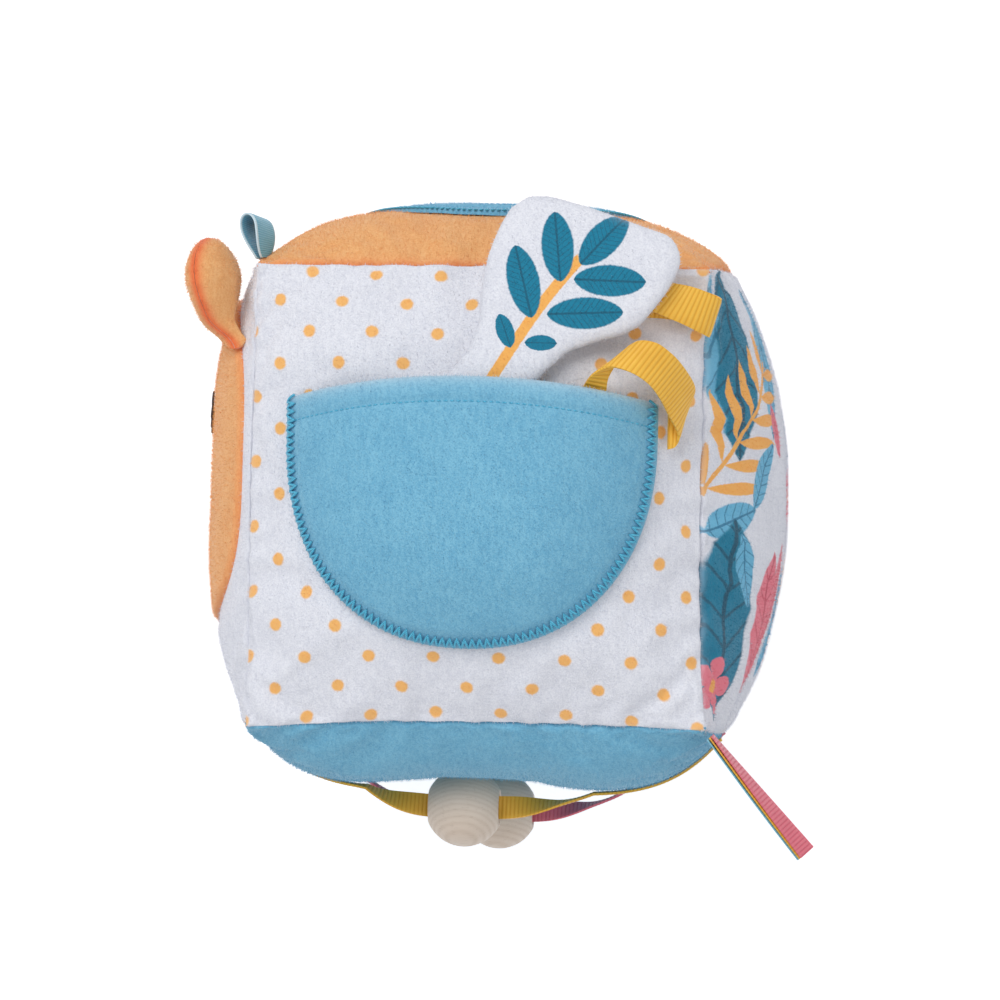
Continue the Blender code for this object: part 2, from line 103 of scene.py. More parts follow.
def shellFaces(columns, rows):
    # an upper and a lower grid with their border closed
    low = columns * rows
    faces = []
    for c in range(columns - 1):
        for r in range(rows - 1):
            a = c * rows + r
            faces.append((a, a + rows, a + rows + 1, a + 1))
            faces.append((low + a, low + a + 1, low + a + rows + 1, low + a + rows))
    rim = [c * rows for c in range(columns)] + [(columns - 1) * rows + r for r in range(1, rows)]
    rim += [c * rows + rows - 1 for c in range(columns - 2, -1, -1)] + [r for r in range(rows - 2, 0, -1)]
    for a, b in zip(rim, rim[1:] + rim[:1]):
        faces.append((a, low + a, low + b, b))
    return faces


def shellPiece(name, upper, lower, finish, pile=1.0, seam=None, sharp=55, onCloth=None):
    columns, rows = upper.shape[:2]
    points = np.concatenate([upper.reshape(-1, 3), lower.reshape(-1, 3)])
    full = np.broadcast_to(np.asarray(pile, float), (columns, rows)).ravel()
    # seam is a painted shade mask near the seams; the inner face of the cloth gets full painted shade
    seamShades = np.zeros(columns * rows) if seam is None else np.asarray(seam).ravel()
    masks = {"pile": np.concatenate([full, full * 0]), "seam": np.concatenate([seamShades, seamShades * 0 + 1])}
    for key, run in (onCloth or {}).items():
        masks[key] = np.tile(run.ravel(), 2)
    return makePiece(name, points, shellFaces(columns, rows), finish, masks=masks, sharp=sharp)


def distanceTo(places, line):
    # shortest way from each 2D place to an open line of points
    flat = places.reshape(-1, 1, 2)
    start = line[None, :-1]
    step = line[None, 1:] - start
    share = ((flat - start) * step).sum(-1) / ((step ** 2).sum(-1) + 1e-12)
    near = start + np.clip(share, 0, 1)[..., None] * step
    return np.sqrt(((flat - near) ** 2).sum(-1)).min(axis=1).reshape(places.shape[:-1])


def rolled(distance, radius):
    # how far cloth has turned down at a distance from its rounded edge
    return radius * (1 - np.sqrt(1 - np.clip(1 - distance / radius, 0, 1) ** 2))


def smoothLine(points, steps):
    line = []
    for index in range(len(points) - 1):
        before, start = points[max(index - 1, 0)], points[index]
        end, after = points[index + 1], points[min(index + 2, len(points) - 1)]
        for step in range(steps):
            t = step / steps
            line.append((start * 2 + (end - before) * t + (before * 2 - start * 5 + end * 4 - after) * t**2
                         + (start * 3 - before - end * 3 + after) * t**3) / 2)
    return np.array(line + [points[-1]])


def resampled(lines, spacing):
    # lines that run side by side, cut again at even steps of their middle
    middle = sum(lines) / len(lines)
    run = np.concatenate([[0], np.cumsum(np.linalg.norm(np.diff(middle, axis=0), axis=1))])
    count = max(int(run[-1] / spacing), 2)
    places = np.linspace(0, run[-1], count + 1)
    cut = [np.stack([np.interp(places, run, line[:, axis]) for axis in range(3)], axis=1) for line in lines]
    return cut, places


# Skin of the stuffed cube, the same curves as the solids
cubeSettings = {
    "bulges": {"front": 15.25, "back": 9.25, "top": 16.5, "bottom": 18.1, "left": 14.9, "right": 17.9},
    "powers": {"front": 3.0, "back": 6.0, "top": 4.7, "bottom": 5.1, "left": 3.6, "right": 2.7},
    "seamDraw": 1.3, "frontDraws": {"left": -0.7, "right": 2.5, "top": -0.3, "bottom": 0.7},
    "cornerPulls": (((1, 1), (-1.2, 0.0)), ((-1, -1), (-0.5, -1.8))), "edgeBow": 3.0, "restCut": 0.5,
    "cloth": 1.8,
    "dents": ((-3.0, 19.0, 6.5, 18.0), (0.0, -19.0, 3.5, 13.0)), "dentLength": 22.0,   # x, z, depth, width
}
faceNames = ("front", "back", "top", "bottom", "left", "right")


def onFace(face, local):
    # from a face's own frame, height last, to the block's frame
    x, y, z = local[..., 0], local[..., 1], local[..., 2]
    turned = {"front": (x, y, z), "back": (-x, y, -z), "top": (x, z, -y), "bottom": (x, -z, y),
              "right": (z, y, -x), "left": (-z, y, x)}[face]
    return np.stack(turned, axis=-1)


def swell(share, power):
    return 1 - np.abs(share) ** power


def bellied(share):
    return cubeSettings["edgeBow"] * (1 - share ** 2)


def seamBows(face, across, up):
    # how far the seams at the ends of the across line and of the up line stand out
    back, draws = cubeSettings["seamDraw"], cubeSettings["frontDraws"]
    if face in ("top", "bottom"):
        atFront = up < 0 if face == "top" else up > 0
        return bellied(up), -np.where(atFront, draws[face], back) * (1 - across ** 2)
    if face in ("left", "right"):
        atFront = across > 0 if face == "left" else across < 0
        return -np.where(atFront, draws[face], back) * (1 - up ** 2), bellied(across)
    if face == "back":
        return -back * (1 - up ** 2), -back * (1 - across ** 2)
    return (-np.where(across > 0, draws["right"], draws["left"]) * (1 - up ** 2),
            -np.where(up > 0, draws["top"], draws["bottom"]) * (1 - across ** 2))


def beadHollows(x, z):
    s = cubeSettings
    return sum(depth * np.exp(-((z - middleZ) / width) ** 2 - (np.abs(x - middleX) / s["dentLength"]) ** 3)
               for middleX, middleZ, depth, width in s["dents"])


def skin(face, across, up, depth=0.0):
    s = cubeSettings
    half = halfEdge - depth
    power = s["powers"][face]
    side, end = seamBows(face, across, up)
    height = (half + s["bulges"][face] * swell(across, power) * swell(up, power)
              + side * across ** 4 + end * up ** 4)
    if face == "bottom":
        dent = beadHollows(across * halfEdge, up * halfEdge)
        height = height - dent * swell(across, power) * swell(up, power)
    if face == "back":
        height = np.minimum(height, half + s["bulges"]["back"] - s["restCut"])
    return np.stack([across * (half + side * across ** 2), up * (half + end * up ** 2), height], axis=-1)


def skinHeight(face, x, y):
    across, up = x / halfEdge, y / halfEdge
    for _ in range(8):
        side, end = seamBows(face, across, up)
        across, up = (np.clip(x / (halfEdge + side * across ** 2), -1, 1),
                      np.clip(y / (halfEdge + end * up ** 2), -1, 1))
    return skin(face, across, up)[..., 2]


def pulled(points):
    # corners of the pocket side, pulled a little out of square
    for signs, shift in cubeSettings["cornerPulls"]:
        near = smoothStep(points[..., 2] / halfEdge, 0.35, 1)
        for axis in (0, 1):
            near = near * smoothStep(points[..., axis] * signs[axis] / halfEdge, 0.35, 1)
        points = points + near[..., None] * (*shift, 0)
    return points


# Camera, floor and light
cameraSettings = {"distance": 958.25, "turn": 5.0, "tilt": 1.0, "roll": 1.2, "lens": 128.2}


def buildCamera():
    s = cameraSettings
    look = Vector((-math.sin(math.radians(s["turn"])), math.sin(math.radians(s["tilt"])), -1)).normalized()
    right = look.cross(Vector((0, 1, 0))).normalized()
    up = right.cross(look)
    roll = math.radians(s["roll"])
    right, up = right * math.cos(roll) + up * math.sin(roll), up * math.cos(roll) - right * math.sin(roll)
    data = bpy.data.cameras.new("camera")
    data.lens = s["lens"]
    data.sensor_width = 36
    data.clip_start = 0.02
    camera = bpy.data.objects.new("camera", data)
    place = Matrix((right, up, -look)).transposed().to_4x4()
    place.translation = (Vector((0, 0, middleHeight)) - look * s["distance"]) * mm
    camera.matrix_world = place
    bpy.context.collection.objects.link(camera)
    bpy.context.scene.camera = camera


def put(tree, kind, inputs=None, **settings):
    node = tree.nodes.new(kind)
    for key, value in settings.items():
        setattr(node, key, value)
    for key, value in (inputs or {}).items():
        if isinstance(value, bpy.types.NodeSocket):
            tree.links.new(value, node.inputs[key])
        else:
            node.inputs[key].default_value = value
    return node


def sums(tree, operation, first, second=0.0, third=0.0):
    kind = "ShaderNodeMath"
    return put(tree, kind, {0: first, 1: second, 2: third}, operation=operation).outputs[0]


def mixed(tree, factor, first, second):
    node = put(tree, "ShaderNodeMix", {0: factor, 6: first, 7: second}, data_type="RGBA")
    return node.outputs[2]


def ramp(tree, value, low, high, start=0.0, end=1.0):
    node = put(tree, "ShaderNodeMapRange", {"Value": value, "From Min": low, "From Max": high,
                                            "To Min": start, "To Max": end}, interpolation_type="SMOOTHSTEP")
    return node.outputs["Result"]


def paint(red, green, blue):
    # a colour as it reads in the photograph, from 0 to 255
    parts = [c / 255 / 12.92 if c <= 10 else ((c / 255 + 0.055) / 1.055) ** 2.4 for c in (red, green, blue)]
    return (*parts, 1.0)


stageSettings = {
    "floorColour": paint(236, 236, 238), "floorGlow": 0.6, "worldLight": 0.46,
    "worldColour": paint(246, 248, 252),
    "lamps": {  # place in metres, size in metres, watts
        "keyLamp": ((-0.45, 0.75, 1.25), 1.0, 10.2),
        "fillLamp": ((0.9, -0.35, 1.1), 1.2, 4.2),
        "sideLamp": ((-0.9, -0.9, 0.6), 1.0, 2.2),
    },
}


def buildStage():
    s = stageSettings
    shape = bmesh.new()
    bmesh.ops.create_grid(shape, x_segments=2, y_segments=2, size=4)
    mesh = bpy.data.meshes.new("floor")
    shape.to_mesh(mesh)
    shape.free()
    floor = bpy.data.objects.new("floor", mesh)
    floor.location.z = -0.0004
    bpy.context.collection.objects.link(floor)
    finish = bpy.data.materials.new("paleFloor")
    finish.use_nodes = True
    tree = finish.node_tree
    shader = tree.nodes["Principled BSDF"]
    shader.inputs["Base Color"].default_value = s["floorColour"]
    shader.inputs["Roughness"].default_value = 0.9
    rays = put(tree, "ShaderNodeLightPath").outputs
    seen = sums(tree, "MAXIMUM", rays["Is Camera Ray"],
                sums(tree, "MAXIMUM", rays["Is Glossy Ray"], rays["Is Transmission Ray"]))
    tree.links.new(sums(tree, "MULTIPLY", seen, s["floorGlow"]), shader.inputs["Emission Strength"])
    shader.inputs["Emission Color"].default_value = (1, 1, 1, 1)
    mesh.materials.append(finish)

    world = bpy.data.worlds.new("paleRoom")
    world.use_nodes = True
    tree = world.node_tree
    background = tree.nodes["Background"]
    background.inputs["Color"].default_value = s["worldColour"]
    rays = put(tree, "ShaderNodeLightPath").outputs
    tree.links.new(ramp(tree, rays["Is Camera Ray"], 0, 1, s["worldLight"], 1.0),
                   background.inputs["Strength"])
    bpy.context.scene.world = world

    for name, (place, size, watts) in s["lamps"].items():
        data = bpy.data.lights.new(name, "AREA")
        data.shape = "DISK"
        data.size = size
        data.energy = watts
        lamp = bpy.data.objects.new(name, data)
        lamp.location = place
        lamp.rotation_euler = (Vector((0, 0, 0.06)) - Vector(place)).to_track_quat("-Z", "Y").to_euler()
        bpy.context.collection.objects.link(lamp)
    bpy.context.scene.view_settings.view_transform = "Standard"


buildCamera()
buildStage()
print("camera, floor and lamps set")


# Shader groups
def newGroup(name, inputs, outputs):
    tree = bpy.data.node_groups.new(name, "ShaderNodeTree")
    for key, value in inputs.items():
        kind = "NodeSocketVector" if value is None else "NodeSocketFloat"
        socket = tree.interface.new_socket(key, in_out="INPUT", socket_type=kind)
        if value is not None:
            socket.default_value = value
    for key in outputs:
        tree.interface.new_socket(key, in_out="OUTPUT", socket_type="NodeSocketFloat")
    return tree, tree.nodes.new("NodeGroupInput").outputs, tree.nodes.new("NodeGroupOutput").inputs


def use(tree, group, inputs):
    node = tree.nodes.new("ShaderNodeGroup")
    node.node_tree = group
    for key, value in inputs.items():
        if isinstance(value, bpy.types.NodeSocket):
            tree.links.new(value, node.inputs[key])
        else:
            node.inputs[key].default_value = value
    return node.outputs


def buildPlushNap():
    # short pile: fine grain, brushed streaks and broad patches where the nap lies the other way
    tree, ins, outs = newGroup("plushNap", {"Vector": None, "Grain": 1.0, "Brush": 1.0}, ("Shade", "Height"))
    grain = put(tree, "ShaderNodeTexNoise", {"Vector": ins["Vector"], "Scale": 2400.0, "Detail": 3.0})
    brushed = put(tree, "ShaderNodeMapping", {"Vector": ins["Vector"], "Scale": (1.0, 0.3, 1.0),
                                              "Rotation": (0.2, 0.1, 0.4)}).outputs[0]
    streak = put(tree, "ShaderNodeTexNoise", {"Vector": brushed, "Scale": 900.0, "Detail": 2.0})
    patch = put(tree, "ShaderNodeTexNoise", {"Vector": ins["Vector"], "Scale": 95.0, "Detail": 3.0,
                                             "Roughness": 0.6})
    fine = sums(tree, "MULTIPLY", grain.outputs[0], ins["Grain"])
    long = sums(tree, "MULTIPLY", streak.outputs[0], ins["Brush"])
    tree.links.new(sums(tree, "MULTIPLY_ADD", long, 0.8, fine), outs["Height"])
    shade = sums(tree, "MULTIPLY_ADD", patch.outputs[0], 0.35, sums(tree, "MULTIPLY", long, 0.55))
    tree.links.new(sums(tree, "MULTIPLY_ADD", fine, 1.2, sums(tree, "SUBTRACT", shade, 0.5)), outs["Shade"])
    return tree


def buildRibWeave():
    # grosgrain: ribs across the ribbon, fine warp threads and a flat selvedge; UV in millimetres
    tree, ins, outs = newGroup("ribWeave", {"Vector": None, "Pitch": 1.28, "Width": 12.0},
                               ("Rib", "Thread", "Selvedge"))
    split = put(tree, "ShaderNodeSeparateXYZ", {0: ins["Vector"]}).outputs
    wave = sums(tree, "SINE", sums(tree, "DIVIDE", sums(tree, "MULTIPLY", split[0], math.pi), ins["Pitch"]))
    tree.links.new(sums(tree, "ABSOLUTE", wave), outs["Rib"])
    warp = sums(tree, "SINE", sums(tree, "MULTIPLY", split[1], 17.0))
    weft = sums(tree, "SINE", sums(tree, "MULTIPLY", split[0], 9.0))
    tree.links.new(sums(tree, "MULTIPLY_ADD", sums(tree, "MULTIPLY", warp, weft), 0.5, 0.5), outs["Thread"])
    rim = sums(tree, "SUBTRACT", sums(tree, "MULTIPLY", ins["Width"], 0.5),
               sums(tree, "ABSOLUTE", split[1]))
    tree.links.new(ramp(tree, rim, 1.1, 0.7), outs["Selvedge"])
    return tree


def buildLeafShape():
    # one printed leaf: base point, heading, length and width in millimetres
    tree, ins, outs = newGroup("leafShape",
                               {"Vector": None, "X": 0.0, "Y": 0.0, "Heading": 0.0, "Length": 20.0,
                                             "Width": 8.0, "Roundness": 0.8, "Veins": 7.0}, ("Mask", "Vein"))
    start = put(tree, "ShaderNodeCombineXYZ", {0: ins["X"], 1: ins["Y"]}).outputs[0]
    moved = put(tree, "ShaderNodeVectorMath", {0: ins["Vector"], 1: start}, operation="SUBTRACT").outputs[0]
    turned = put(tree, "ShaderNodeVectorRotate",
                 {"Vector": moved, "Angle": sums(tree, "MULTIPLY", ins["Heading"], -1)},
                 rotation_type="Z_AXIS").outputs[0]
    split = put(tree, "ShaderNodeSeparateXYZ", {0: turned}).outputs
    share = sums(tree, "DIVIDE", split[0], ins["Length"])
    side = sums(tree, "ABSOLUTE", sums(tree, "DIVIDE", split[1], sums(tree, "MULTIPLY", ins["Width"], 0.5)))
    centred = sums(tree, "MULTIPLY_ADD", share, 2.0, -1.0)
    hull = sums(tree, "MAXIMUM", sums(tree, "SUBTRACT", 1.0, sums(tree, "MULTIPLY", centred, centred)), 0.0)
    outline = sums(tree, "POWER", hull, ins["Roundness"])
    mask = ramp(tree, sums(tree, "SUBTRACT", outline, side), 0.0, 0.12)
    tree.links.new(mask, outs["Mask"])
    rib = ramp(tree, side, 0.09, 0.04)
    slant = sums(tree, "FRACT", sums(tree, "MULTIPLY", ins["Veins"],
                                     sums(tree, "MULTIPLY_ADD", side, -0.16, share)))
    lines = ramp(tree, sums(tree, "ABSOLUTE", sums(tree, "SUBTRACT", slant, 0.5)), 0.11, 0.04)
    both = sums(tree, "MAXIMUM", rib, sums(tree, "MULTIPLY", lines, 0.8))
    tree.links.new(sums(tree, "MULTIPLY", both, mask), outs["Vein"])
    return tree


def buildFernShape():
    # a stem with pairs of narrow leaflets
    tree, ins, outs = newGroup("fernShape",
                               {"Vector": None, "X": 0.0, "Y": 0.0, "Heading": 0.0, "Length": 40.0,
                                             "Width": 26.0, "Pairs": 5.0}, ("Mask",))
    start = put(tree, "ShaderNodeCombineXYZ", {0: ins["X"], 1: ins["Y"]}).outputs[0]
    moved = put(tree, "ShaderNodeVectorMath", {0: ins["Vector"], 1: start}, operation="SUBTRACT").outputs[0]
    turned = put(tree, "ShaderNodeVectorRotate",
                 {"Vector": moved, "Angle": sums(tree, "MULTIPLY", ins["Heading"], -1)},
                 rotation_type="Z_AXIS").outputs[0]
    split = put(tree, "ShaderNodeSeparateXYZ", {0: turned}).outputs
    share = sums(tree, "DIVIDE", split[0], ins["Length"])
    side = sums(tree, "ABSOLUTE", sums(tree, "DIVIDE", split[1], sums(tree, "MULTIPLY", ins["Width"], 0.5)))
    root = sums(tree, "MULTIPLY_ADD", side, -0.3, share)      # where this leaflet leaves the stem
    cell = sums(tree, "ABSOLUTE",
                sums(tree, "SUBTRACT", sums(tree, "FRACT", sums(tree, "MULTIPLY", root, ins["Pairs"])), 0.5))
    reach = sums(tree, "SUBTRACT", 1.05, sums(tree, "MULTIPLY", root, 0.55))
    tip = sums(tree, "DIVIDE", side, reach)
    full = sums(tree, "MAXIMUM", sums(tree, "SUBTRACT", sums(tree, "MULTIPLY", tip, 1.0),
                                      sums(tree, "MULTIPLY", tip, tip)), 0.0)
    leaflet = ramp(tree, sums(tree, "SUBTRACT", sums(tree, "MULTIPLY", full, 1.25), cell), 0.0, 0.06)
    inside = sums(tree, "MULTIPLY", ramp(tree, root, 0.0, 0.02), ramp(tree, root, 1.0, 0.98))
    stem = sums(tree, "MULTIPLY", ramp(tree, sums(tree, "ABSOLUTE", split[1]), 0.8, 0.5),
                sums(tree, "MULTIPLY", ramp(tree, share, -0.1, -0.08), ramp(tree, share, 1.02, 1.0)))
    tree.links.new(sums(tree, "MAXIMUM", stem, sums(tree, "MULTIPLY", leaflet, inside)), outs["Mask"])
    return tree


def buildBlossomShape():
    tree, ins, outs = newGroup("blossomShape",
                               {"Vector": None, "X": 0.0, "Y": 0.0, "Radius": 8.0, "Petals": 5.0,
                                                "Turn": 0.0}, ("Mask", "Heart"))
    start = put(tree, "ShaderNodeCombineXYZ", {0: ins["X"], 1: ins["Y"]}).outputs[0]
    moved = put(tree, "ShaderNodeVectorMath", {0: ins["Vector"], 1: start}, operation="SUBTRACT").outputs[0]
    split = put(tree, "ShaderNodeSeparateXYZ", {0: moved}).outputs
    radius = sums(tree, "DIVIDE",
                  put(tree, "ShaderNodeVectorMath", {0: moved}, operation="LENGTH").outputs["Value"],
                  ins["Radius"])
    angle = sums(tree, "ADD", sums(tree, "ARCTAN2", split[1], split[0]), ins["Turn"])
    lobes = sums(tree, "ABSOLUTE", sums(tree, "COSINE", sums(tree, "MULTIPLY", angle,
                                                             sums(tree, "MULTIPLY", ins["Petals"], 0.5))))
    edge = sums(tree, "MULTIPLY_ADD", sums(tree, "POWER", lobes, 0.6), 0.6, 0.4)
    tree.links.new(ramp(tree, sums(tree, "SUBTRACT", edge, radius), 0.0, 0.07), outs["Mask"])
    tree.links.new(ramp(tree, radius, 0.27, 0.2), outs["Heart"])
    return tree


def buildWoodGrain():
    # growth rings of a small turned bead, with fine pores
    tree, ins, outs = newGroup("woodGrain", {"Vector": None, "Rings": 1.0}, ("Ring", "Pore"))
    bent = put(tree, "ShaderNodeTexNoise",
               {"Vector": ins["Vector"], "Scale": 70.0, "Detail": 2.0}).outputs[0]
    moved = put(tree, "ShaderNodeVectorMath", {0: ins["Vector"], 1: (0.004, 0.03, 0.012)},
                operation="SUBTRACT").outputs[0]
    flat = put(tree, "ShaderNodeVectorMath", {0: moved, 1: (0.25, 1.0, 1.0)},
               operation="MULTIPLY").outputs[0]
    far = put(tree, "ShaderNodeVectorMath", {0: flat}, operation="LENGTH").outputs["Value"]
    wave = sums(tree, "MULTIPLY_ADD", far, 5200.0, sums(tree, "MULTIPLY", bent, 6.0))
    ring = sums(tree, "MULTIPLY_ADD", sums(tree, "SINE", sums(tree, "MULTIPLY", wave, ins["Rings"])), 0.5,
                0.5)
    tree.links.new(sums(tree, "POWER", ring, 1.6), outs["Ring"])
    long = put(tree, "ShaderNodeMapping", {"Vector": ins["Vector"], "Scale": (0.16, 1.0, 1.0)}).outputs[0]
    pores = put(tree, "ShaderNodeTexNoise", {"Vector": long, "Scale": 2600.0, "Detail": 2.0}).outputs[0]
    tree.links.new(ramp(tree, pores, 0.55, 0.75), outs["Pore"])
    return tree


plushNap = buildPlushNap()
ribWeave = buildRibWeave()
leafShape = buildLeafShape()
fernShape = buildFernShape()
blossomShape = buildBlossomShape()
woodGrain = buildWoodGrain()


# Materials
def newMaterial(name, roughness=0.8, sheen=0.0, metallic=0.0):
    material = bpy.data.materials.new(name)
    material.use_nodes = True
    tree = material.node_tree
    shader = tree.nodes["Principled BSDF"]
    shader.inputs["Roughness"].default_value = roughness
    shader.inputs["Metallic"].default_value = metallic
    shader.inputs["Sheen Weight"].default_value = sheen
    shader.inputs["Sheen Roughness"].default_value = 0.45
    return material, tree, shader


def setBump(tree, shader, height, strength, distance):
    bump = put(tree, "ShaderNodeBump", {"Height": height, "Strength": strength, "Distance": distance})
    tree.links.new(bump.outputs["Normal"], shader.inputs["Normal"])


def softened(tree, place, flat):
    # fibres blur the edge of a print
    wobble = put(tree, "ShaderNodeTexNoise",
                 {"Vector": place, "Scale": 1500.0, "Detail": 2.0}).outputs["Color"]
    shift = put(tree, "ShaderNodeVectorMath", {0: wobble, 1: (0.5, 0.5, 0.5)},
                operation="SUBTRACT").outputs[0]
    soft = put(tree, "ShaderNodeVectorMath", {0: shift, "Scale": 0.4}, operation="SCALE").outputs[0]
    return put(tree, "ShaderNodeVectorMath", {0: flat, 1: soft}, operation="ADD").outputs[0]


def flatPlace(tree, place, origin, right, up):
    # millimetres on a print, from the piece's own coordinates
    world = Vector(origin) + Vector((0, 0, middleHeight))
    moved = put(tree, "ShaderNodeVectorMath", {0: place, 1: world * mm}, operation="SUBTRACT").outputs[0]
    axes = [put(tree, "ShaderNodeVectorMath", {0: moved, 1: Vector(axis) * 1000},
                operation="DOT_PRODUCT").outputs["Value"]
            for axis in (right, up)]
    return softened(tree, place, put(tree, "ShaderNodeCombineXYZ", {0: axes[0], 1: axes[1]}).outputs[0])


def plushMaterial(name, colour, deep, sheen=0.35, printed=None, shadeShare=0.7, creaseShade=None):
    material, tree, shader = newMaterial(name, 0.92, sheen)
    place = put(tree, "ShaderNodeTexCoord").outputs["Object"]
    nap = use(tree, plushNap, {"Vector": place})
    base = mixed(tree, ramp(tree, nap["Shade"], 0.25, 0.85, 0.0, shadeShare), colour, deep)
    if printed:
        base = printed(tree, place, base)
    # painted shade: the seam attribute mixes in the crease colour, or the deep colour, near seams and over
    # the inner face of each cloth
    seam = put(tree, "ShaderNodeAttribute", attribute_name="seam").outputs["Fac"]
    base = mixed(tree, sums(tree, "MULTIPLY", sums(tree, "MAXIMUM", seam, 0.0), 0.6 if creaseShade else 0.35),
                 base, creaseShade or deep)
    # painted highlight: where the seam attribute is below zero, a pale colour is mixed in along a fold
    base = mixed(tree, sums(tree, "MULTIPLY", sums(tree, "MINIMUM", seam, 0.0), -0.4), base,
                 paint(240, 246, 250))
    tree.links.new(base, shader.inputs["Base Color"])
    setBump(tree, shader, nap["Height"], 0.35, 0.0004)
    return material


dotSettings = {"pitch": 16.5, "turn": 0.4, "x": 6.1, "y": 8.0, "radius": 1.65,
               "colour": paint(250, 190, 112)}


def printDots(tree, place, base):
    s = dotSettings
    runs = [put(tree, "ShaderNodeAttribute",
                attribute_name=key).outputs["Fac"] for key in ("clothX", "clothY")]
    cloth = put(tree, "ShaderNodeCombineXYZ", {0: runs[0], 1: runs[1]}).outputs[0]
    turned = put(tree, "ShaderNodeVectorRotate", {"Vector": cloth, "Angle": -math.radians(s["turn"])},
                 rotation_type="Z_AXIS").outputs[0]
    split = put(tree, "ShaderNodeSeparateXYZ", {0: softened(tree, place, turned)}).outputs
    nearest = None
    for half in (0.0, 0.5):
        cells = []
        for socket, start in ((split[0], s["x"]), (split[1], s["y"])):
            moved = sums(tree, "MULTIPLY_ADD", socket, 1 / s["pitch"], 0.5 + half - start / s["pitch"])
            cells.append(sums(tree, "SUBTRACT", sums(tree, "FRACT", moved), 0.5))
        far = sums(tree, "SQRT", sums(tree, "MULTIPLY_ADD", cells[0], cells[0],
                                      sums(tree, "MULTIPLY", cells[1], cells[1])))
        nearest = far if nearest is None else sums(tree, "MINIMUM", nearest, far)
    radius = s["radius"] / s["pitch"]
    return mixed(tree, ramp(tree, nearest, radius * 1.2, radius * 0.78), base, s["colour"])


leafColours = {"teal": paint(20, 128, 160), "tealVein": paint(22, 88, 112), "sky": paint(112, 188, 220),
               "skyVein": paint(60, 130, 165), "pink": paint(238, 130, 146), "pinkVein": paint(206, 84, 104),
               "orange": paint(250, 184, 96), "orangeVein": paint(226, 142, 62)}
# kind, x, y, heading, length, width: x runs back from the pocket's seam, y up the side
sidePrint = (
    ("sky", 1, 58, -76, 46, 13), ("teal", 12, 60, -88, 50, 17), ("sky", 34, 56, -96, 40, 12),
    ("fern", 1, 0, 52, 46, 34), ("pink", 30, 26, -70, 15, 6), ("sky", 2, -8, 18, 20, 9),
    ("teal", 7, -56, 84, 52, 23), ("sky", 14, -8, -74, 20, 7), ("sky", 20, -2, 62, 20, 8),
    ("pink", 27, -50, 82, 38, 13), ("blossom", 6, -47, 8, 0, 0), ("pink", 40, -10, -100, 26, 8),
    ("teal", 62, 44, -70, 46, 18), ("fern", 60, -52, 70, 46, 27), ("blossom", 54, 2, 9, 0, 0),
    ("sky", 50, -46, 96, 30, 10), ("sky", 96, 50, -130, 34, 12), ("pink", 74, 56, -20, 24, 10),
    ("teal", 108, -50, 112, 50, 20), ("blossom", 102, 14, 10, 0, 0), ("sky", 88, -50, 84, 28, 10),
    ("pink", 110, 34, 160, 22, 9), ("sky", 78, -6, 40, 20, 8), ("orange", 84, 18, 120, 24, 9),
)


def printLeaves(origin, right, up):
    def printed(tree, place, base):
        flat = flatPlace(tree, place, origin, right, up)
        c = leafColours
        for kind, x, y, heading, length, width in sidePrint:
            if kind == "fern":
                fern = use(tree, fernShape,
                           {"Vector": flat, "X": x, "Y": y, "Heading": math.radians(heading),
                                             "Length": length, "Width": width, "Pairs": 6.0})
                base = mixed(tree, fern["Mask"], base, c["orange"])
            elif kind == "blossom":
                flower = use(tree, blossomShape, {"Vector": flat, "X": x, "Y": y, "Radius": heading})
                base = mixed(tree, flower["Mask"], base, c["pink"])
                base = mixed(tree, flower["Heart"], base, c["orange"])
            else:
                leaf = use(tree, leafShape,
                           {"Vector": flat, "X": x, "Y": y, "Heading": math.radians(heading),
                                             "Length": length, "Width": width, "Roundness": 0.75})
                base = mixed(tree, leaf["Mask"], base, c[kind])
                base = mixed(tree, leaf["Vein"], base, c[kind + "Vein"])
        return base
    return printed


# padded figure's own frame: along from its foot, across to its right, in the block's frame
figureSettings = {
    "length": 84.0, "width": 45.0, "inPocket": 30.0, "cloth": 0.9, "puff": 1.6, "lean": math.radians(36),
    "slope": 0.14, "standOff": 1.7, "mouth": (4.3, 29.4), "gap": 0.3,
}


def figureFrame():
    s = figureSettings
    along = Vector((math.sin(s["lean"]), math.cos(s["lean"]), 0))
    across = Vector((along.y, -along.x, 0))
    along.z = -s["slope"] * along.y
    across.z = -s["slope"] * across.y
    across -= along * (across.dot(along) / along.length_squared)
    along.normalize()
    across.normalize()
    halfThick = s["gap"] / 2 + s["puff"] + s["cloth"]
    height = float(skinHeight("front", np.array(s["mouth"][0]),
                              np.array(s["mouth"][1]))) + s["standOff"] + halfThick
    start = Vector((*s["mouth"], height)) - along * s["inPocket"]
    return start, across, along


sprigLeaves = ((-0.8, 47, 140, 19, 8.5), (1.6, 50, 38, 19, 8.5), (-0.6, 58.5, 132, 18, 8.5),
               (1.6, 61, 34, 18, 8.5),
               (0.6, 65, 84, 17, 8.5), (-0.4, 38, 146, 9, 4.6), (1.6, 41, 36, 8, 4.2))


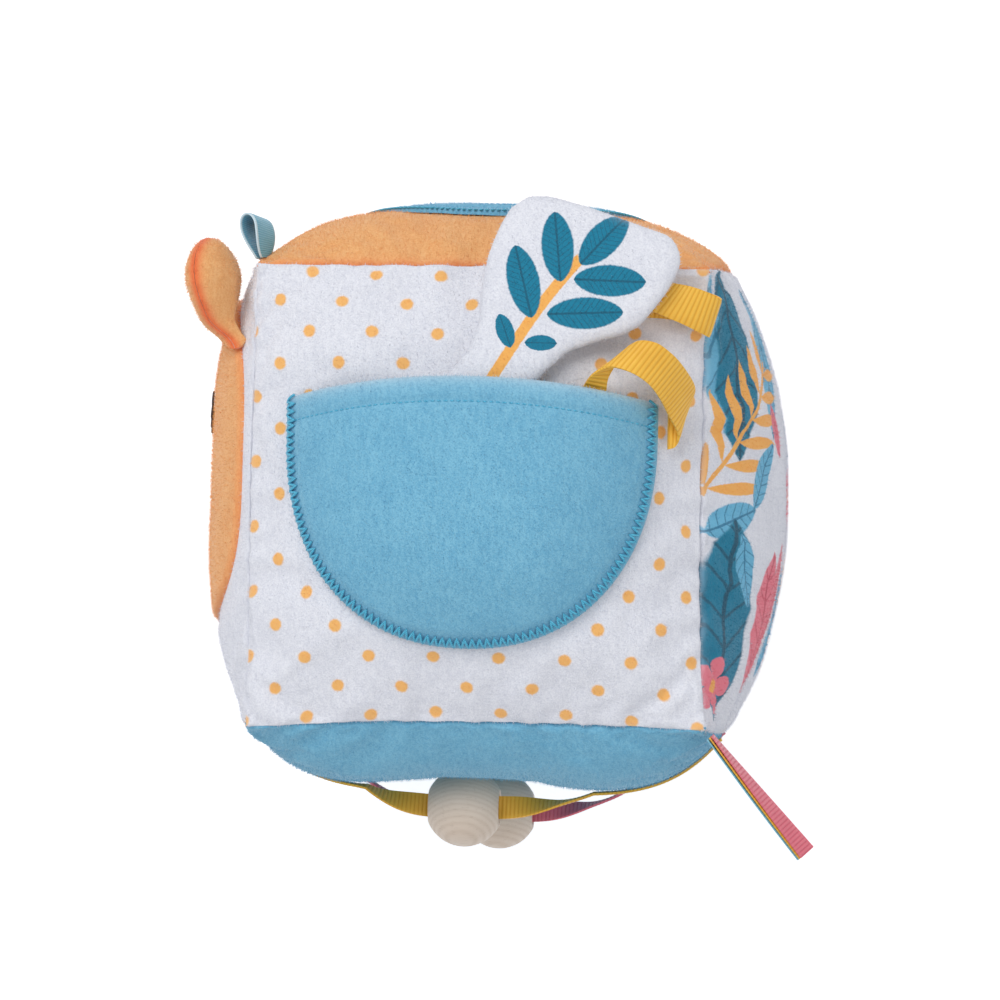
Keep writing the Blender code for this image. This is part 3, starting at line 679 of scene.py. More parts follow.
def printSprig(tree, place, base):
    start, across, along = figureFrame()
    flat = flatPlace(tree, place, start, across, along)
    split = put(tree, "ShaderNodeSeparateXYZ", {0: flat}).outputs
    bend = sums(tree, "MULTIPLY", sums(tree, "SINE", sums(tree, "MULTIPLY", split[1], 0.09)), 0.9)
    side = sums(tree, "ABSOLUTE", sums(tree, "SUBTRACT", split[0], bend))
    stem = sums(tree, "MULTIPLY", ramp(tree, side, 1.55, 1.2), ramp(tree, split[1], 67.0, 66.0))
    base = mixed(tree, stem, base, leafColours["orange"])
    for x, y, heading, length, width in sprigLeaves:
        leaf = use(tree, leafShape,
                   {"Vector": flat, "X": x, "Y": y, "Heading": math.radians(heading), "Length": length,
                                     "Width": width, "Roundness": 0.6, "Veins": 13.0})
        base = mixed(tree, leaf["Mask"], base, leafColours["teal"])
        base = mixed(tree, sums(tree, "MULTIPLY", leaf["Vein"], 0.75), base, leafColours["tealVein"])
    return base


def ribbonMaterial(name, colour, deep, width, pitch, sheen=0.15, selvedge=None):
    material, tree, shader = newMaterial(name, 0.55, sheen)
    place = put(tree, "ShaderNodeUVMap", uv_map="weave").outputs["UV"]
    weave = use(tree, ribWeave, {"Vector": place, "Pitch": pitch, "Width": width})
    rib = sums(tree, "SUBTRACT", 1.0, weave["Rib"])
    shadow = sums(tree, "MULTIPLY", sums(tree, "POWER", rib, 1.5), 0.75)
    base = mixed(tree, shadow, colour, deep)
    base = mixed(tree, sums(tree, "MULTIPLY", weave["Thread"], 0.22), base, deep)
    own = put(tree, "ShaderNodeTexCoord").outputs["Object"]
    cloud = put(tree, "ShaderNodeTexNoise", {"Vector": own, "Scale": 160.0, "Detail": 2.0}).outputs[0]
    base = mixed(tree, ramp(tree, cloud, 0.4, 0.8, 0.0, 0.25), base, deep)
    base = mixed(tree, sums(tree, "MULTIPLY", weave["Selvedge"], 0.8 if selvedge else 0.3), base,
                 selvedge or colour)
    tree.links.new(base, shader.inputs["Base Color"])
    tree.links.new(ramp(tree, weave["Rib"], 0.0, 1.0, 0.75, 0.48), shader.inputs["Roughness"])
    height = sums(tree, "MULTIPLY_ADD", weave["Thread"], 0.35, weave["Rib"])
    setBump(tree, shader, height, 0.5, 0.00012)
    return material


def threadMaterial(name, colour, deep):
    material, tree, shader = newMaterial(name, 0.5, 0.2)
    place = put(tree, "ShaderNodeTexCoord").outputs["Object"]
    twist = put(tree, "ShaderNodeTexWave", {"Vector": place, "Scale": 900.0, "Distortion": 1.5},
                bands_direction="DIAGONAL")
    tree.links.new(mixed(tree, sums(tree, "MULTIPLY", twist.outputs["Fac"], 0.6), colour, deep),
                   shader.inputs["Base Color"])
    setBump(tree, shader, twist.outputs["Fac"], 0.4, 0.00008)
    return material


def woodMaterial():
    material, tree, shader = newMaterial("paleWood", 0.5)
    place = put(tree, "ShaderNodeTexCoord").outputs["Object"]
    grain = use(tree, woodGrain, {"Vector": place})
    base = mixed(tree, sums(tree, "MULTIPLY", grain["Ring"], 0.28), paint(222, 205, 188),
                 paint(196, 174, 152))
    base = mixed(tree, sums(tree, "MULTIPLY", grain["Pore"], 0.25), base, paint(168, 144, 120))
    tree.links.new(base, shader.inputs["Base Color"])
    tree.links.new(ramp(tree, grain["Ring"], 0.0, 1.0, 0.46, 0.6), shader.inputs["Roughness"])
    setBump(tree, shader, grain["Pore"], 0.15, 0.0001)
    return material


def foilMaterial():
    material, tree, shader = newMaterial("mirrorFoil", 0.06, metallic=1.0)
    place = put(tree, "ShaderNodeTexCoord").outputs["Object"]
    haze = put(tree, "ShaderNodeTexNoise", {"Vector": place, "Scale": 300.0, "Detail": 3.0}).outputs[0]
    tree.links.new(mixed(tree, haze, paint(214, 220, 226), paint(228, 232, 236)),
                   shader.inputs["Base Color"])
    tree.links.new(ramp(tree, haze, 0.3, 0.8, 0.04, 0.14), shader.inputs["Roughness"])
    wave = put(tree, "ShaderNodeTexNoise", {"Vector": place, "Scale": 45.0, "Detail": 1.0}).outputs[0]
    setBump(tree, shader, wave, 0.25, 0.002)
    return material


white, whiteDeep = paint(240, 241, 247), paint(214, 216, 226)
orange, orangeDeep = paint(247, 190, 128), paint(228, 154, 86)
blue, blueDeep = paint(134, 196, 222), paint(92, 164, 200)
dottedPlush = plushMaterial("dottedPlush", white, whiteDeep, printed=printDots)
whitePlush = plushMaterial("whitePlush", white, whiteDeep)
# red-orange painted shade in the seam creases of the orange plush
orangePlush = plushMaterial("orangePlush", orange, orangeDeep, 0.25, creaseShade=paint(238, 112, 62))
bluePlush = plushMaterial("bluePlush", blue, blueDeep, 0.3)
sidePrintCloth = plushMaterial("sidePrintCloth", white, whiteDeep,
                               printed=printLeaves((0, 0, halfEdge), (0, 0, -1), (0, 1, 0)))
backPrintCloth = plushMaterial("backPrintCloth", white, whiteDeep,
                               printed=printLeaves((halfEdge, 0, 0), (-1, 0, 0), (0, 1, 0)))
sprigPlush = plushMaterial("sprigPlush", white, whiteDeep, printed=printSprig)
looseFibre = plushMaterial("looseFibre", paint(244, 244, 244), paint(226, 226, 226), 0.2)
yellowRibbon = ribbonMaterial("yellowRibbon", paint(254, 200, 72), paint(222, 152, 30), 12.0, 1.28)
yellowNarrow = ribbonMaterial("yellowNarrow", paint(250, 192, 66), paint(216, 148, 30), 6.0, 1.1)
pinkNarrow = ribbonMaterial("pinkNarrow", paint(236, 122, 136), paint(206, 84, 104), 6.0, 1.1)
blueNarrow = ribbonMaterial("blueNarrow", paint(140, 202, 222), paint(92, 164, 194), 6.0, 1.1)
blueSatin = ribbonMaterial("blueSatin", paint(128, 196, 218), paint(52, 136, 170), 10.0, 0.55, 0.3,
                           paint(224, 240, 246))
tealThread = threadMaterial("tealThread", paint(92, 194, 224), paint(30, 134, 174))
darkThread = threadMaterial("darkThread", paint(70, 62, 66), paint(42, 38, 44))
paleWood = woodMaterial()
mirrorFoil = foilMaterial()
print("materials made")


# Geometry Nodes
def newTree(name, inputs):
    tree = bpy.data.node_groups.new(name, "GeometryNodeTree")
    tree.interface.new_socket("Geometry", in_out="INPUT", socket_type="NodeSocketGeometry")
    for key, (kind, value) in inputs.items():
        socket = tree.interface.new_socket(key, in_out="INPUT", socket_type="NodeSocket" + kind)
        if value is not None:
            socket.default_value = value
    tree.interface.new_socket("Geometry", in_out="OUTPUT", socket_type="NodeSocketGeometry")
    return tree, tree.nodes.new("NodeGroupInput").outputs, tree.nodes.new("NodeGroupOutput").inputs


def finishTree(tree, ins, outs, geometry):
    real = put(tree, "GeometryNodeRealizeInstances", {0: geometry}).outputs[0]
    dressed = put(tree, "GeometryNodeSetMaterial", {"Geometry": real, "Material": ins["Finish"]}).outputs[0]
    tree.links.new(dressed, outs[0])


def bakeNodes(piece, tree, finish, values):
    modifier = piece.modifiers.new("nodes", "NODES")
    modifier.node_group = tree
    for item in tree.interface.items_tree:
        if item.item_type == "SOCKET" and item.in_out == "INPUT" and item.name in values:
            modifier[item.identifier] = values[item.name]
        elif item.item_type == "SOCKET" and item.name == "Finish":
            modifier[item.identifier] = finish
    ready = piece.evaluated_get(bpy.context.evaluated_depsgraph_get())
    mesh = bpy.data.meshes.new_from_object(ready)
    piece.modifiers.clear()
    piece.data = mesh
    mesh.name = piece.name
    return piece


def buildPlushPile():
    # tapered fibres that stand on the outside of a cloth
    tree, ins, outs = newTree("plushPile", {
        "Density": ("Float", 1.0e6), "Length": ("Float", 0.001), "Radius": ("Float", 0.0001),
        "Lean": ("Float", 0.5), "Seed": ("Int", 1), "Finish": ("Material", None)})
    mask = put(tree, "GeometryNodeInputNamedAttribute", {"Name": "pile"},
               data_type="FLOAT").outputs["Attribute"]
    density = sums(tree, "MULTIPLY", mask, ins["Density"])
    scatter = put(tree, "GeometryNodeDistributePointsOnFaces",
                  {"Mesh": ins["Geometry"], "Seed": ins["Seed"]})
    tree.links.new(density, scatter.inputs["Density"])
    fibre = put(tree, "GeometryNodeMeshCone",
                {"Vertices": 3, "Side Segments": 1, "Radius Top": 0.0}).outputs["Mesh"]
    cone = fibre.node
    tree.links.new(ins["Radius"], cone.inputs["Radius Bottom"])
    tree.links.new(ins["Length"], cone.inputs["Depth"])
    least = put(tree, "ShaderNodeCombineXYZ", {0: sums(tree, "MULTIPLY", ins["Lean"], -1), 2: -3.14,
                                               1: sums(tree, "MULTIPLY", ins["Lean"], -1)}).outputs[0]
    most = put(tree, "ShaderNodeCombineXYZ", {0: ins["Lean"], 1: ins["Lean"], 2: 3.14}).outputs[0]
    angles = put(tree, "FunctionNodeRandomValue", {"Seed": ins["Seed"]}, data_type="FLOAT_VECTOR")
    tree.links.new(least, angles.inputs[0])
    tree.links.new(most, angles.inputs[1])
    lean = put(tree, "FunctionNodeEulerToRotation", {0: angles.outputs[0]}).outputs[0]
    turn = put(tree, "FunctionNodeRotateRotation",
               {"Rotation": scatter.outputs["Rotation"], "Rotate By": lean},
               rotation_space="LOCAL").outputs[0]
    size = put(tree, "FunctionNodeRandomValue", {"Seed": ins["Seed"]}, data_type="FLOAT")
    size.inputs[2].default_value = 0.55
    size.inputs[3].default_value = 1.15
    fibres = put(tree, "GeometryNodeInstanceOnPoints",
                 {"Points": scatter.outputs["Points"], "Instance": fibre,
                                                        "Rotation": turn,
                                                        "Scale": size.outputs[1]}).outputs[0]
    joined = put(tree, "GeometryNodeJoinGeometry")
    tree.links.new(fibres, joined.inputs[0])
    tree.links.new(ins["Geometry"], joined.inputs[0])
    finishTree(tree, ins, outs, joined.outputs[0])
    return tree


def buildRibbonRibs():
    # raises ribs across a ribbon, flat along its selvedges
    tree, ins, outs = newTree("ribbonRibs", {"Pitch": ("Float", 1.28), "Depth": ("Float", 0.0001),
                                             "Finish": ("Material", None)})
    run = put(tree, "GeometryNodeInputNamedAttribute", {"Name": "run"},
              data_type="FLOAT").outputs["Attribute"]
    side = put(tree, "GeometryNodeInputNamedAttribute", {"Name": "inner"},
               data_type="FLOAT").outputs["Attribute"]
    wave = sums(tree, "ABSOLUTE",
                sums(tree, "SINE", sums(tree, "DIVIDE", sums(tree, "MULTIPLY", run, math.pi),
                                                          ins["Pitch"])))
    lift = sums(tree, "MULTIPLY", sums(tree, "MULTIPLY", sums(tree, "SUBTRACT", wave, 0.6), ins["Depth"]),
                side)
    normal = put(tree, "GeometryNodeInputNormal").outputs[0]
    offset = put(tree, "ShaderNodeVectorMath", {0: normal, "Scale": lift}, operation="SCALE").outputs[0]
    moved = put(tree, "GeometryNodeSetPosition", {"Geometry": ins["Geometry"], "Offset": offset}).outputs[0]
    finishTree(tree, ins, outs, moved)
    return tree


def buildZigzagThread():
    # a thread that swings from side to side along a path and arches between its needle holes
    tree, ins, outs = newTree("zigzagThread", {
        "Pitch": ("Float", 0.0019), "Width": ("Float", 0.0028), "Radius": ("Float", 0.0002),
        "Arch": ("Float", 0.0003), "Finish": ("Material", None)})
    path = put(tree, "GeometryNodeMeshToCurve", {0: ins["Geometry"]}).outputs[0]
    step = sums(tree, "MULTIPLY", ins["Pitch"], 0.5)
    even = put(tree, "GeometryNodeResampleCurve", {"Curve": path, "Length": step}, mode="LENGTH")
    up = put(tree, "GeometryNodeInputNamedAttribute", {"Name": "up"},
             data_type="FLOAT_VECTOR").outputs["Attribute"]
    tangent = put(tree, "GeometryNodeInputTangent").outputs[0]
    side = put(tree, "ShaderNodeVectorMath", {0: tangent, 1: up}, operation="CROSS_PRODUCT").outputs[0]
    index = put(tree, "GeometryNodeInputIndex").outputs[0]
    swing = sums(tree, "MULTIPLY_ADD", sums(tree, "MODULO", index, 2.0), 2.0, -1.0)
    reach = sums(tree, "MULTIPLY", sums(tree, "MULTIPLY", swing, 0.5), ins["Width"])
    offset = put(tree, "ShaderNodeVectorMath", {0: side, "Scale": reach}, operation="SCALE").outputs[0]
    zigzag = put(tree, "GeometryNodeSetPosition", {"Geometry": even.outputs[0], "Offset": offset}).outputs[0]
    cut = put(tree, "GeometryNodeSubdivideCurve", {"Curve": zigzag, "Cuts": 3}).outputs[0]
    phase = sums(tree, "MULTIPLY", sums(tree, "MODULO", put(tree, "GeometryNodeInputIndex").outputs[0], 4.0),
                 math.pi / 4)
    rise = sums(tree, "MULTIPLY", sums(tree, "SINE", phase), ins["Arch"])
    lift = put(tree, "ShaderNodeVectorMath", {0: up, "Scale": rise}, operation="SCALE").outputs[0]
    arched = put(tree, "GeometryNodeSetPosition", {"Geometry": cut, "Offset": lift}).outputs[0]
    ring = put(tree, "GeometryNodeCurvePrimitiveCircle", {"Resolution": 6}).outputs[0]
    tree.links.new(ins["Radius"], ring.node.inputs["Radius"])
    thread = put(tree, "GeometryNodeCurveToMesh",
                 {"Curve": arched, "Profile Curve": ring, "Fill Caps": True}).outputs[0]
    finishTree(tree, ins, outs, thread)
    return tree


def buildRunningStitch():
    # short stitches end to end along a path, with a gap where the needle goes down
    tree, ins, outs = newTree("runningStitch", {
        "Pitch": ("Float", 0.0026), "Radius": ("Float", 0.0003), "Fill": ("Float", 0.85),
        "Finish": ("Material", None)})
    path = put(tree, "GeometryNodeMeshToCurve", {0: ins["Geometry"]}).outputs[0]
    even = put(tree, "GeometryNodeResampleCurve", {"Curve": path, "Length": ins["Pitch"]}, mode="LENGTH")
    ball = put(tree, "GeometryNodeMeshUVSphere", {"Segments": 8, "Rings": 6, "Radius": 1.0}).outputs["Mesh"]
    tangent = put(tree, "GeometryNodeInputTangent").outputs[0]
    turn = put(tree, "FunctionNodeAlignRotationToVector", {"Vector": tangent}, axis="X").outputs[0]
    half = sums(tree, "MULTIPLY", sums(tree, "MULTIPLY", ins["Pitch"], ins["Fill"]), 0.5)
    size = put(tree, "ShaderNodeCombineXYZ", {0: half, 1: ins["Radius"], 2: ins["Radius"]}).outputs[0]
    stitches = put(tree, "GeometryNodeInstanceOnPoints", {"Points": even.outputs[0], "Instance": ball,
                                                          "Rotation": turn, "Scale": size}).outputs[0]
    finishTree(tree, ins, outs, stitches)
    return tree


plushPile = buildPlushPile()
ribbonRibs = buildRibbonRibs()
zigzagThread = buildZigzagThread()
runningStitch = buildRunningStitch()


def stitchPath(name, points, ups, tree, finish, values):
    # a line of stitches along points, each with the direction that faces out of the cloth there
    mesh = bpy.data.meshes.new(name)
    world = np.array(points, float)
    world[:, 2] += middleHeight
    mesh.from_pydata((world * mm).tolist(), [(i, i + 1) for i in range(len(points) - 1)], [])
    layer = mesh.attributes.new("up", "FLOAT_VECTOR", "POINT")
    layer.data.foreach_set("vector", np.asarray(ups, np.float32).ravel())
    piece = bpy.data.objects.new(name, mesh)
    bpy.context.collection.objects.link(piece)
    bakeNodes(piece, tree, finish, values)
    piece.data.shade_smooth()
    return piece


pileSettings = {"Density": 1.9e6, "Length": 0.0009, "Radius": 0.00006, "Lean": 0.75}


def addPile(piece, finish, seed, **changes):
    values = dict(pileSettings, Seed=seed, **changes)
    return bakeNodes(piece, plushPile, finish, values)


def settle(piece, body, slot, *nodes):
    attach(piece, body)
    if nodes:
        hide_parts(*nodes)
    return piece


def clothRun(grid, axis):
    # millimetres along the cloth from its middle line
    steps = np.linalg.norm(np.diff(grid, axis=axis), axis=-1)
    run = np.concatenate([np.zeros_like(np.take(steps, [0], axis=axis)), np.cumsum(steps, axis=axis)],
                         axis=axis)
    return run - np.take(run, [grid.shape[axis] // 2], axis=axis)


def gathered(grid, outward, slack, pressure, most):
    # the folds of a cloth cut a little too large, sewn down all round and pressed out by its filling
    columns, rows = grid.shape[:2]
    coarse = grid[::2, ::2]
    wide, high = coarse.shape[:2]
    faces = [(c * high + r, c * high + high + r, c * high + high + r + 1, c * high + r + 1)
             for c in range(wide - 1) for r in range(high - 1)]
    mesh = bpy.data.meshes.new("trialCloth")
    mesh.from_pydata((coarse.reshape(-1, 3) * mm).tolist(), [], faces)
    trial = bpy.data.objects.new("trialCloth", mesh)
    bpy.context.collection.objects.link(trial)
    index = np.arange(wide * high).reshape(wide, high)
    sewn = {int(i) for row in (index[0], index[-1], index[:, 0], index[:, -1]) for i in row}
    trial.vertex_groups.new(name="sewn").add(sorted(sewn), 1.0, "REPLACE")
    cloth = trial.modifiers.new("cloth", "CLOTH")
    cloth.settings.vertex_group_mass = "sewn"
    cloth.settings.quality = 5
    cloth.settings.use_pressure = True
    cloth.settings.uniform_pressure_force = pressure
    cloth.settings.shrink_min = -slack
    cloth.settings.bending_stiffness = 0.3
    cloth.settings.effector_weights.gravity = 0
    cloth.collision_settings.use_collision = False
    cloth.point_cache.frame_start, cloth.point_cache.frame_end = 1, 20
    for number in range(1, 21):
        bpy.context.scene.frame_set(number)
    ready = trial.evaluated_get(bpy.context.evaluated_depsgraph_get())
    points = np.empty(wide * high * 3)
    ready.data.vertices.foreach_get("co", points)
    moved = ((points.reshape(wide, high, 3) / mm - coarse) * normalsOf(coarse, outward)).sum(axis=-1)
    bpy.data.objects.remove(trial)
    bpy.context.scene.frame_set(1)
    broad = moved
    for _ in range(30):      # the filling keeps the broad shape, so only the folds stay
        padded = np.pad(broad, 1, mode="edge")
        broad = (padded[:-2, 1:-1] + padded[2:, 1:-1] + padded[1:-1, :-2] + padded[1:-1, 2:]
                 + padded[1:-1, 1:-1]) / 5
    folds = most * np.tanh((moved - broad) / most)
    across = [np.interp(np.arange(columns) / 2, np.arange(wide), line) for line in folds.T]
    return np.array([np.interp(np.arange(rows) / 2, np.arange(high), line) for line in np.array(across).T])


# Panels of the cube
panelSettings = {"cells": 92, "seamRoll": 1.15, "pucker": 0.3, "lumps": 0.5, "slack": 0.045, "pressure": 5.0,
                 "most": 0.9, "cut": (0.131, 0.131)}


# what lies on the panels and presses their folds flat: middles and half sizes in mm, and powers of the ovals
coverSettings = {"pocket": {"x": -1.8, "y": 14, "halfWidth": 46.8, "depth": 52.5, "power": 2.2,
                            "mouth": (24, 30)},
                 "patch": {"y": 9, "halfWidth": 56.5, "halfHeight": 43, "power": 3.6},
                 "ring": (38, 43), "rows": 19, "ribbonShare": 0.8, "ribbonReach": 5,
                 "beadAcross": (9, 15), "beadAlong": (26, 36)}


def pressedFlat(face, x, y):
    # 1 where a pocket, patch, ring or ribbon lies on the panel
    s = coverSettings
    if face == "front":
        own = s["pocket"]
        low = (np.abs((x - own["x"]) / own["halfWidth"]) ** own["power"]
               + (np.maximum(0, own["y"] - y) / own["depth"]) ** own["power"]) ** (1 / own["power"])
        return (1 - smoothStep(low, 1.0, 1.12)) * (1 - smoothStep(y, *own["mouth"]))
    if face == "left":
        own = s["patch"]
        oval = (np.abs(x / own["halfWidth"]) ** own["power"]
                + np.abs((y - own["y"]) / own["halfHeight"]) ** own["power"]) ** (1 / own["power"])
        return 1 - smoothStep(oval, 1.0, 1.1)
    if face == "top":
        return 1 - smoothStep(np.hypot(x, y), *s["ring"])
    if face == "bottom":
        row = np.abs(np.abs(y) - s["rows"])
        bead = (1 - smoothStep(row, *s["beadAcross"])) * (1 - smoothStep(np.abs(x), *s["beadAlong"]))
        return np.maximum(s["ribbonShare"] * np.exp(-(row / s["ribbonReach"]) ** 2), bead)
    return x * 0


def panelPiece(face, finish, slot, seed):
    s = panelSettings
    turn = np.linspace(-1, 1, s["cells"] + 1)
    line = 0.3 * turn + 0.7 * np.sin(turn * math.pi / 2)
    across, up = np.meshgrid(line, line, indexing="ij")
    outer = pulled(onFace(face, skin(face, across, up)))
    inner = pulled(onFace(face, skin(face, across * 0.999, up * 0.999, cubeSettings["cloth"])))
    onCloth = {"clothX": clothRun(outer, 0), "clothY": clothRun(outer, 1)}
    outward = onFace(face, np.array((0.0, 0.0, 1.0)))
    normal = normalsOf(outer, outward)
    reach = (1 - np.maximum(np.abs(across), np.abs(up))) * halfEdge * 1.3
    lift = bumpy(outer, 24, 3.7) * s["lumps"] + bumpy(outer, 9, 8.1) * s["lumps"] * 0.25
    lift = lift * smoothStep(reach, 0, 14)
    lift += s["pucker"] * np.exp(-reach / 6) * bumpy(outer, 5.5, 1.3) - rolled(reach, s["seamRoll"])
    lift += gathered(outer, outward, s["slack"], s["pressure"], s["most"])
    lift *= 1 - pressedFlat(face, across * halfEdge, up * halfEdge)
    outer = outer + normal * lift[..., None]
    outer[..., 2] = np.maximum(outer[..., 2], 0.05 - middleHeight)
    pile = (outer[..., 2] > 2 - middleHeight) * smoothStep(reach, -0.5, 0.4)
    # the seam mask paints shade along the panel seams
    piece = shellPiece(face + "Panel", outer, inner, finish, pile, np.exp(-reach / 0.9), onCloth=onCloth)
    addPile(piece, finish, seed)
    settle(piece, "block", slot, face + "_panel")


for seed, (face, finish, slot) in enumerate((
        ("front", dottedPlush, "dotted_plush"), ("back", backPrintCloth, "leaf_print"),
        ("top", orangePlush, "orange_plush"), ("bottom", bluePlush, "blue_plush"),
        ("left", whitePlush, "white_plush"), ("right", sidePrintCloth, "leaf_print"))):
    panelPiece(face, finish, slot, seed)
print("panels made")


def fillingPiece():
    # loose fibre that fills the cube up to the panels
    line = np.linspace(-1, 1, 25)
    across, up = np.meshgrid(line, line, indexing="ij")
    points, faces = [], []
    for face in faceNames:
        start = len(points)
        points += pulled(onFace(face, skin(face, across, up,
                                           cubeSettings["cloth"] + 1.6))).reshape(-1, 3).tolist()
        for c in range(24):
            for r in range(24):
                a = start + c * 25 + r
                faces.append((a, a + 25, a + 26, a + 1))
    piece = makePiece("fibreFilling", points, faces, looseFibre)
    shape = bmesh.new()
    shape.from_mesh(piece.data)
    bmesh.ops.remove_doubles(shape, verts=shape.verts, dist=0.00002)
    bmesh.ops.recalc_face_normals(shape, faces=shape.faces)
    shape.to_mesh(piece.data)
    shape.free()
    settle(piece, "block", "fibre", "fibre_filling")


fillingPiece()


# Face side
patchSettings = {"halfWidth": 56.2, "halfHeight": 43.0, "power": 3.6, "cloth": 1.0, "middleY": 9.0,
                 "gap": 0.5, "rimRoll": 1.1,
                 "lumps": (0.5, 0.2)}


def discGrid(halfWidth, halfHeight, power, middleY, columns, rows):
    turn = np.linspace(-1, 1, columns) * (math.pi / 2 - math.radians(1.5))
    share = np.sin(turn)
    reach = halfHeight * (1 - np.abs(share) ** power) ** (1 / power)
    ups = np.sin(np.linspace(-1, 1, rows) * math.pi / 2)
    x = np.repeat(share[:, None] * halfWidth, rows, axis=1)
    return x, middleY + reach[:, None] * ups[None]


def discRim(halfWidth, halfHeight, power, middleY, count=240):
    angle = np.linspace(0, 2 * math.pi, count + 1)
    x = np.sign(np.cos(angle)) * np.abs(np.cos(angle)) ** (2 / power) * halfWidth
    y = np.sign(np.sin(angle)) * np.abs(np.sin(angle)) ** (2 / power) * halfHeight
    return np.stack([x, y + middleY], axis=1)


def facePatchPiece():
    s = patchSettings
    x, y = discGrid(s["halfWidth"], s["halfHeight"], s["power"], s["middleY"], 84, 60)
    rim = discRim(s["halfWidth"], s["halfHeight"], s["power"], s["middleY"])
    low = skinHeight("left", x, y) + 0.1
    far = distanceTo(np.stack([x, y], axis=-1), rim)
    places = np.stack([x, y, low], axis=-1)
    high = (low + s["gap"] + s["cloth"] - rolled(far, s["rimRoll"]) + s["lumps"][0] * bumpy(places, 24, 3.7)
            + s["lumps"][1] * bumpy(places, 8, 5.0))
    high = np.maximum(high, low + 0.2)
    upper = onFace("left", np.stack([x, y, high], axis=-1))
    lower = onFace("left", np.stack([x, y, low - 0.2], axis=-1))
    # the seam mask paints shade along the patch's rim
    piece = shellPiece("facePatch", upper, lower, orangePlush, 1.0, 0.5 * np.exp(-far / 0.8))
    addPile(piece, orangePlush, 11)
    settle(piece, "block", "orange_plush", "face_patch")


facePatchPiece()


# two closed eyes with lashes, a nose and a mouth, sewn in satin stitch
faceSettings = {"eyeX": 22.0, "eyeY": 26.0, "eyeWidth": 17.0, "eyeSag": 5.5, "lash": 4.6, "lashes": 4,
                "noseY": 12.0, "noseWidth": 8.0, "mouthDrop": 7.5, "thread": 0.00028,
                "noseRows": 5, "bowWidth": 6.0, "bowDrop": 3.0, "noseHeight": 4.4,
                "eyeLine": 0.0016, "lashLine": 0.0011, "noseLine": 0.0014, "mouthLine": 0.0012}


def facePoints(line):
    # points on the patch, each with the direction out of it
    s = patchSettings
    line = np.asarray(line, float)
    at = [skinHeight("left", line[:, 0] + dx, line[:, 1] + dy) for dx, dy in ((0, 0), (1, 0), (0, 1))]
    points = onFace("left", np.column_stack([line, at[0] + s["gap"] + s["cloth"] + 0.65]))
    ups = onFace("left", np.column_stack([at[0] - at[1], at[0] - at[2], at[0] * 0 + 1]))
    return points, ups / np.linalg.norm(ups, axis=1, keepdims=True)


def facePieces():
    s = faceSettings
    strokes = []
    for side in (-1, 1):
        share = np.linspace(-1, 1, 40)
        arc = np.column_stack([side * s["eyeX"] + share * s["eyeWidth"] / 2,
                               s["eyeY"] - s["eyeSag"] * (1 - share ** 2)])
        strokes.append((arc, s["eyeLine"]))
        for k in range(s["lashes"]):
            place = side * (0.1 + 0.28 * k)
            foot = np.array((side * s["eyeX"] + place * s["eyeWidth"] / 2,
                             s["eyeY"] - s["eyeSag"] * (1 - place ** 2)))
            tip = foot + s["lash"] * np.array((side * (0.15 + 0.22 * k), -1 + 0.17 * k))
            strokes.append((np.linspace(foot, tip, 10), s["lashLine"]))
    for k in range(s["noseRows"]):
        half = s["noseWidth"] / 2 * (1 - (k / (s["noseRows"] - 1)) ** 2 * 0.7)
        row = np.linspace(-half, half, 16)
        strokes.append((np.column_stack([row, row * 0 + s["noseY"] - k]), s["noseLine"]))
    drop = np.linspace(0, 1, 14)[:, None]
    foot = np.array((0, s["noseY"] - s["noseHeight"]))
    below = (0, s["noseHeight"] - s["mouthDrop"])
    strokes.append((foot + drop * below, s["mouthLine"]))
    for side in (-1, 1):
        bow = np.column_stack([side * s["bowWidth"] * np.sin(drop[:, 0] * 1.9),
                               -s["bowDrop"] * np.sin(drop[:, 0] * math.pi * 0.8)])
        strokes.append((foot + below + bow, s["mouthLine"]))
    for number, (line, width) in enumerate(strokes):
        points, ups = facePoints(line)
        values = {"Pitch": 0.0006, "Width": width, "Radius": s["thread"], "Arch": 0.00012}
        piece = stitchPath(f"faceStitch{number + 1:02d}", points, ups, zigzagThread, darkThread, values)
        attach(piece, "block")


facePieces()


# Lobes: the figure and the ears, each two cloths sewn round a thin wadding
figureShares = ((0, -0.06, 0.06), (0.012, -0.12, 0.12), (0.04, -0.17, 0.17), (0.1, -0.195, 0.195),
                (0.19, -0.2, 0.2), (0.277, -0.205, 0.205), (0.371, -0.2, 0.21), (0.46, -0.247, 0.216),
                (0.545, -0.351, 0.245), (0.632, -0.433, 0.355), (0.68, -0.462, 0.43),
                (0.735, -0.488, 0.478), (0.794, -0.5, 0.482), (0.852, -0.458, 0.483),
                (0.889, -0.364, 0.477), (0.91, -0.26, 0.47), (0.935, -0.13, 0.46),
                (0.96, 0.03, 0.44), (0.98, 0.16, 0.405), (0.993, 0.24, 0.365), (1, 0.285, 0.325))
earShares = ((0, -0.09, 0.09), (0.1, -0.1, 0.09), (0.25, -0.25, 0.21), (0.42, -0.41, 0.37),
             (0.58, -0.49, 0.49), (0.72, -0.48, 0.49), (0.84, -0.4, 0.41), (0.93, -0.27, 0.28),
             (0.98, -0.14, 0.15), (1, -0.06, 0.06))


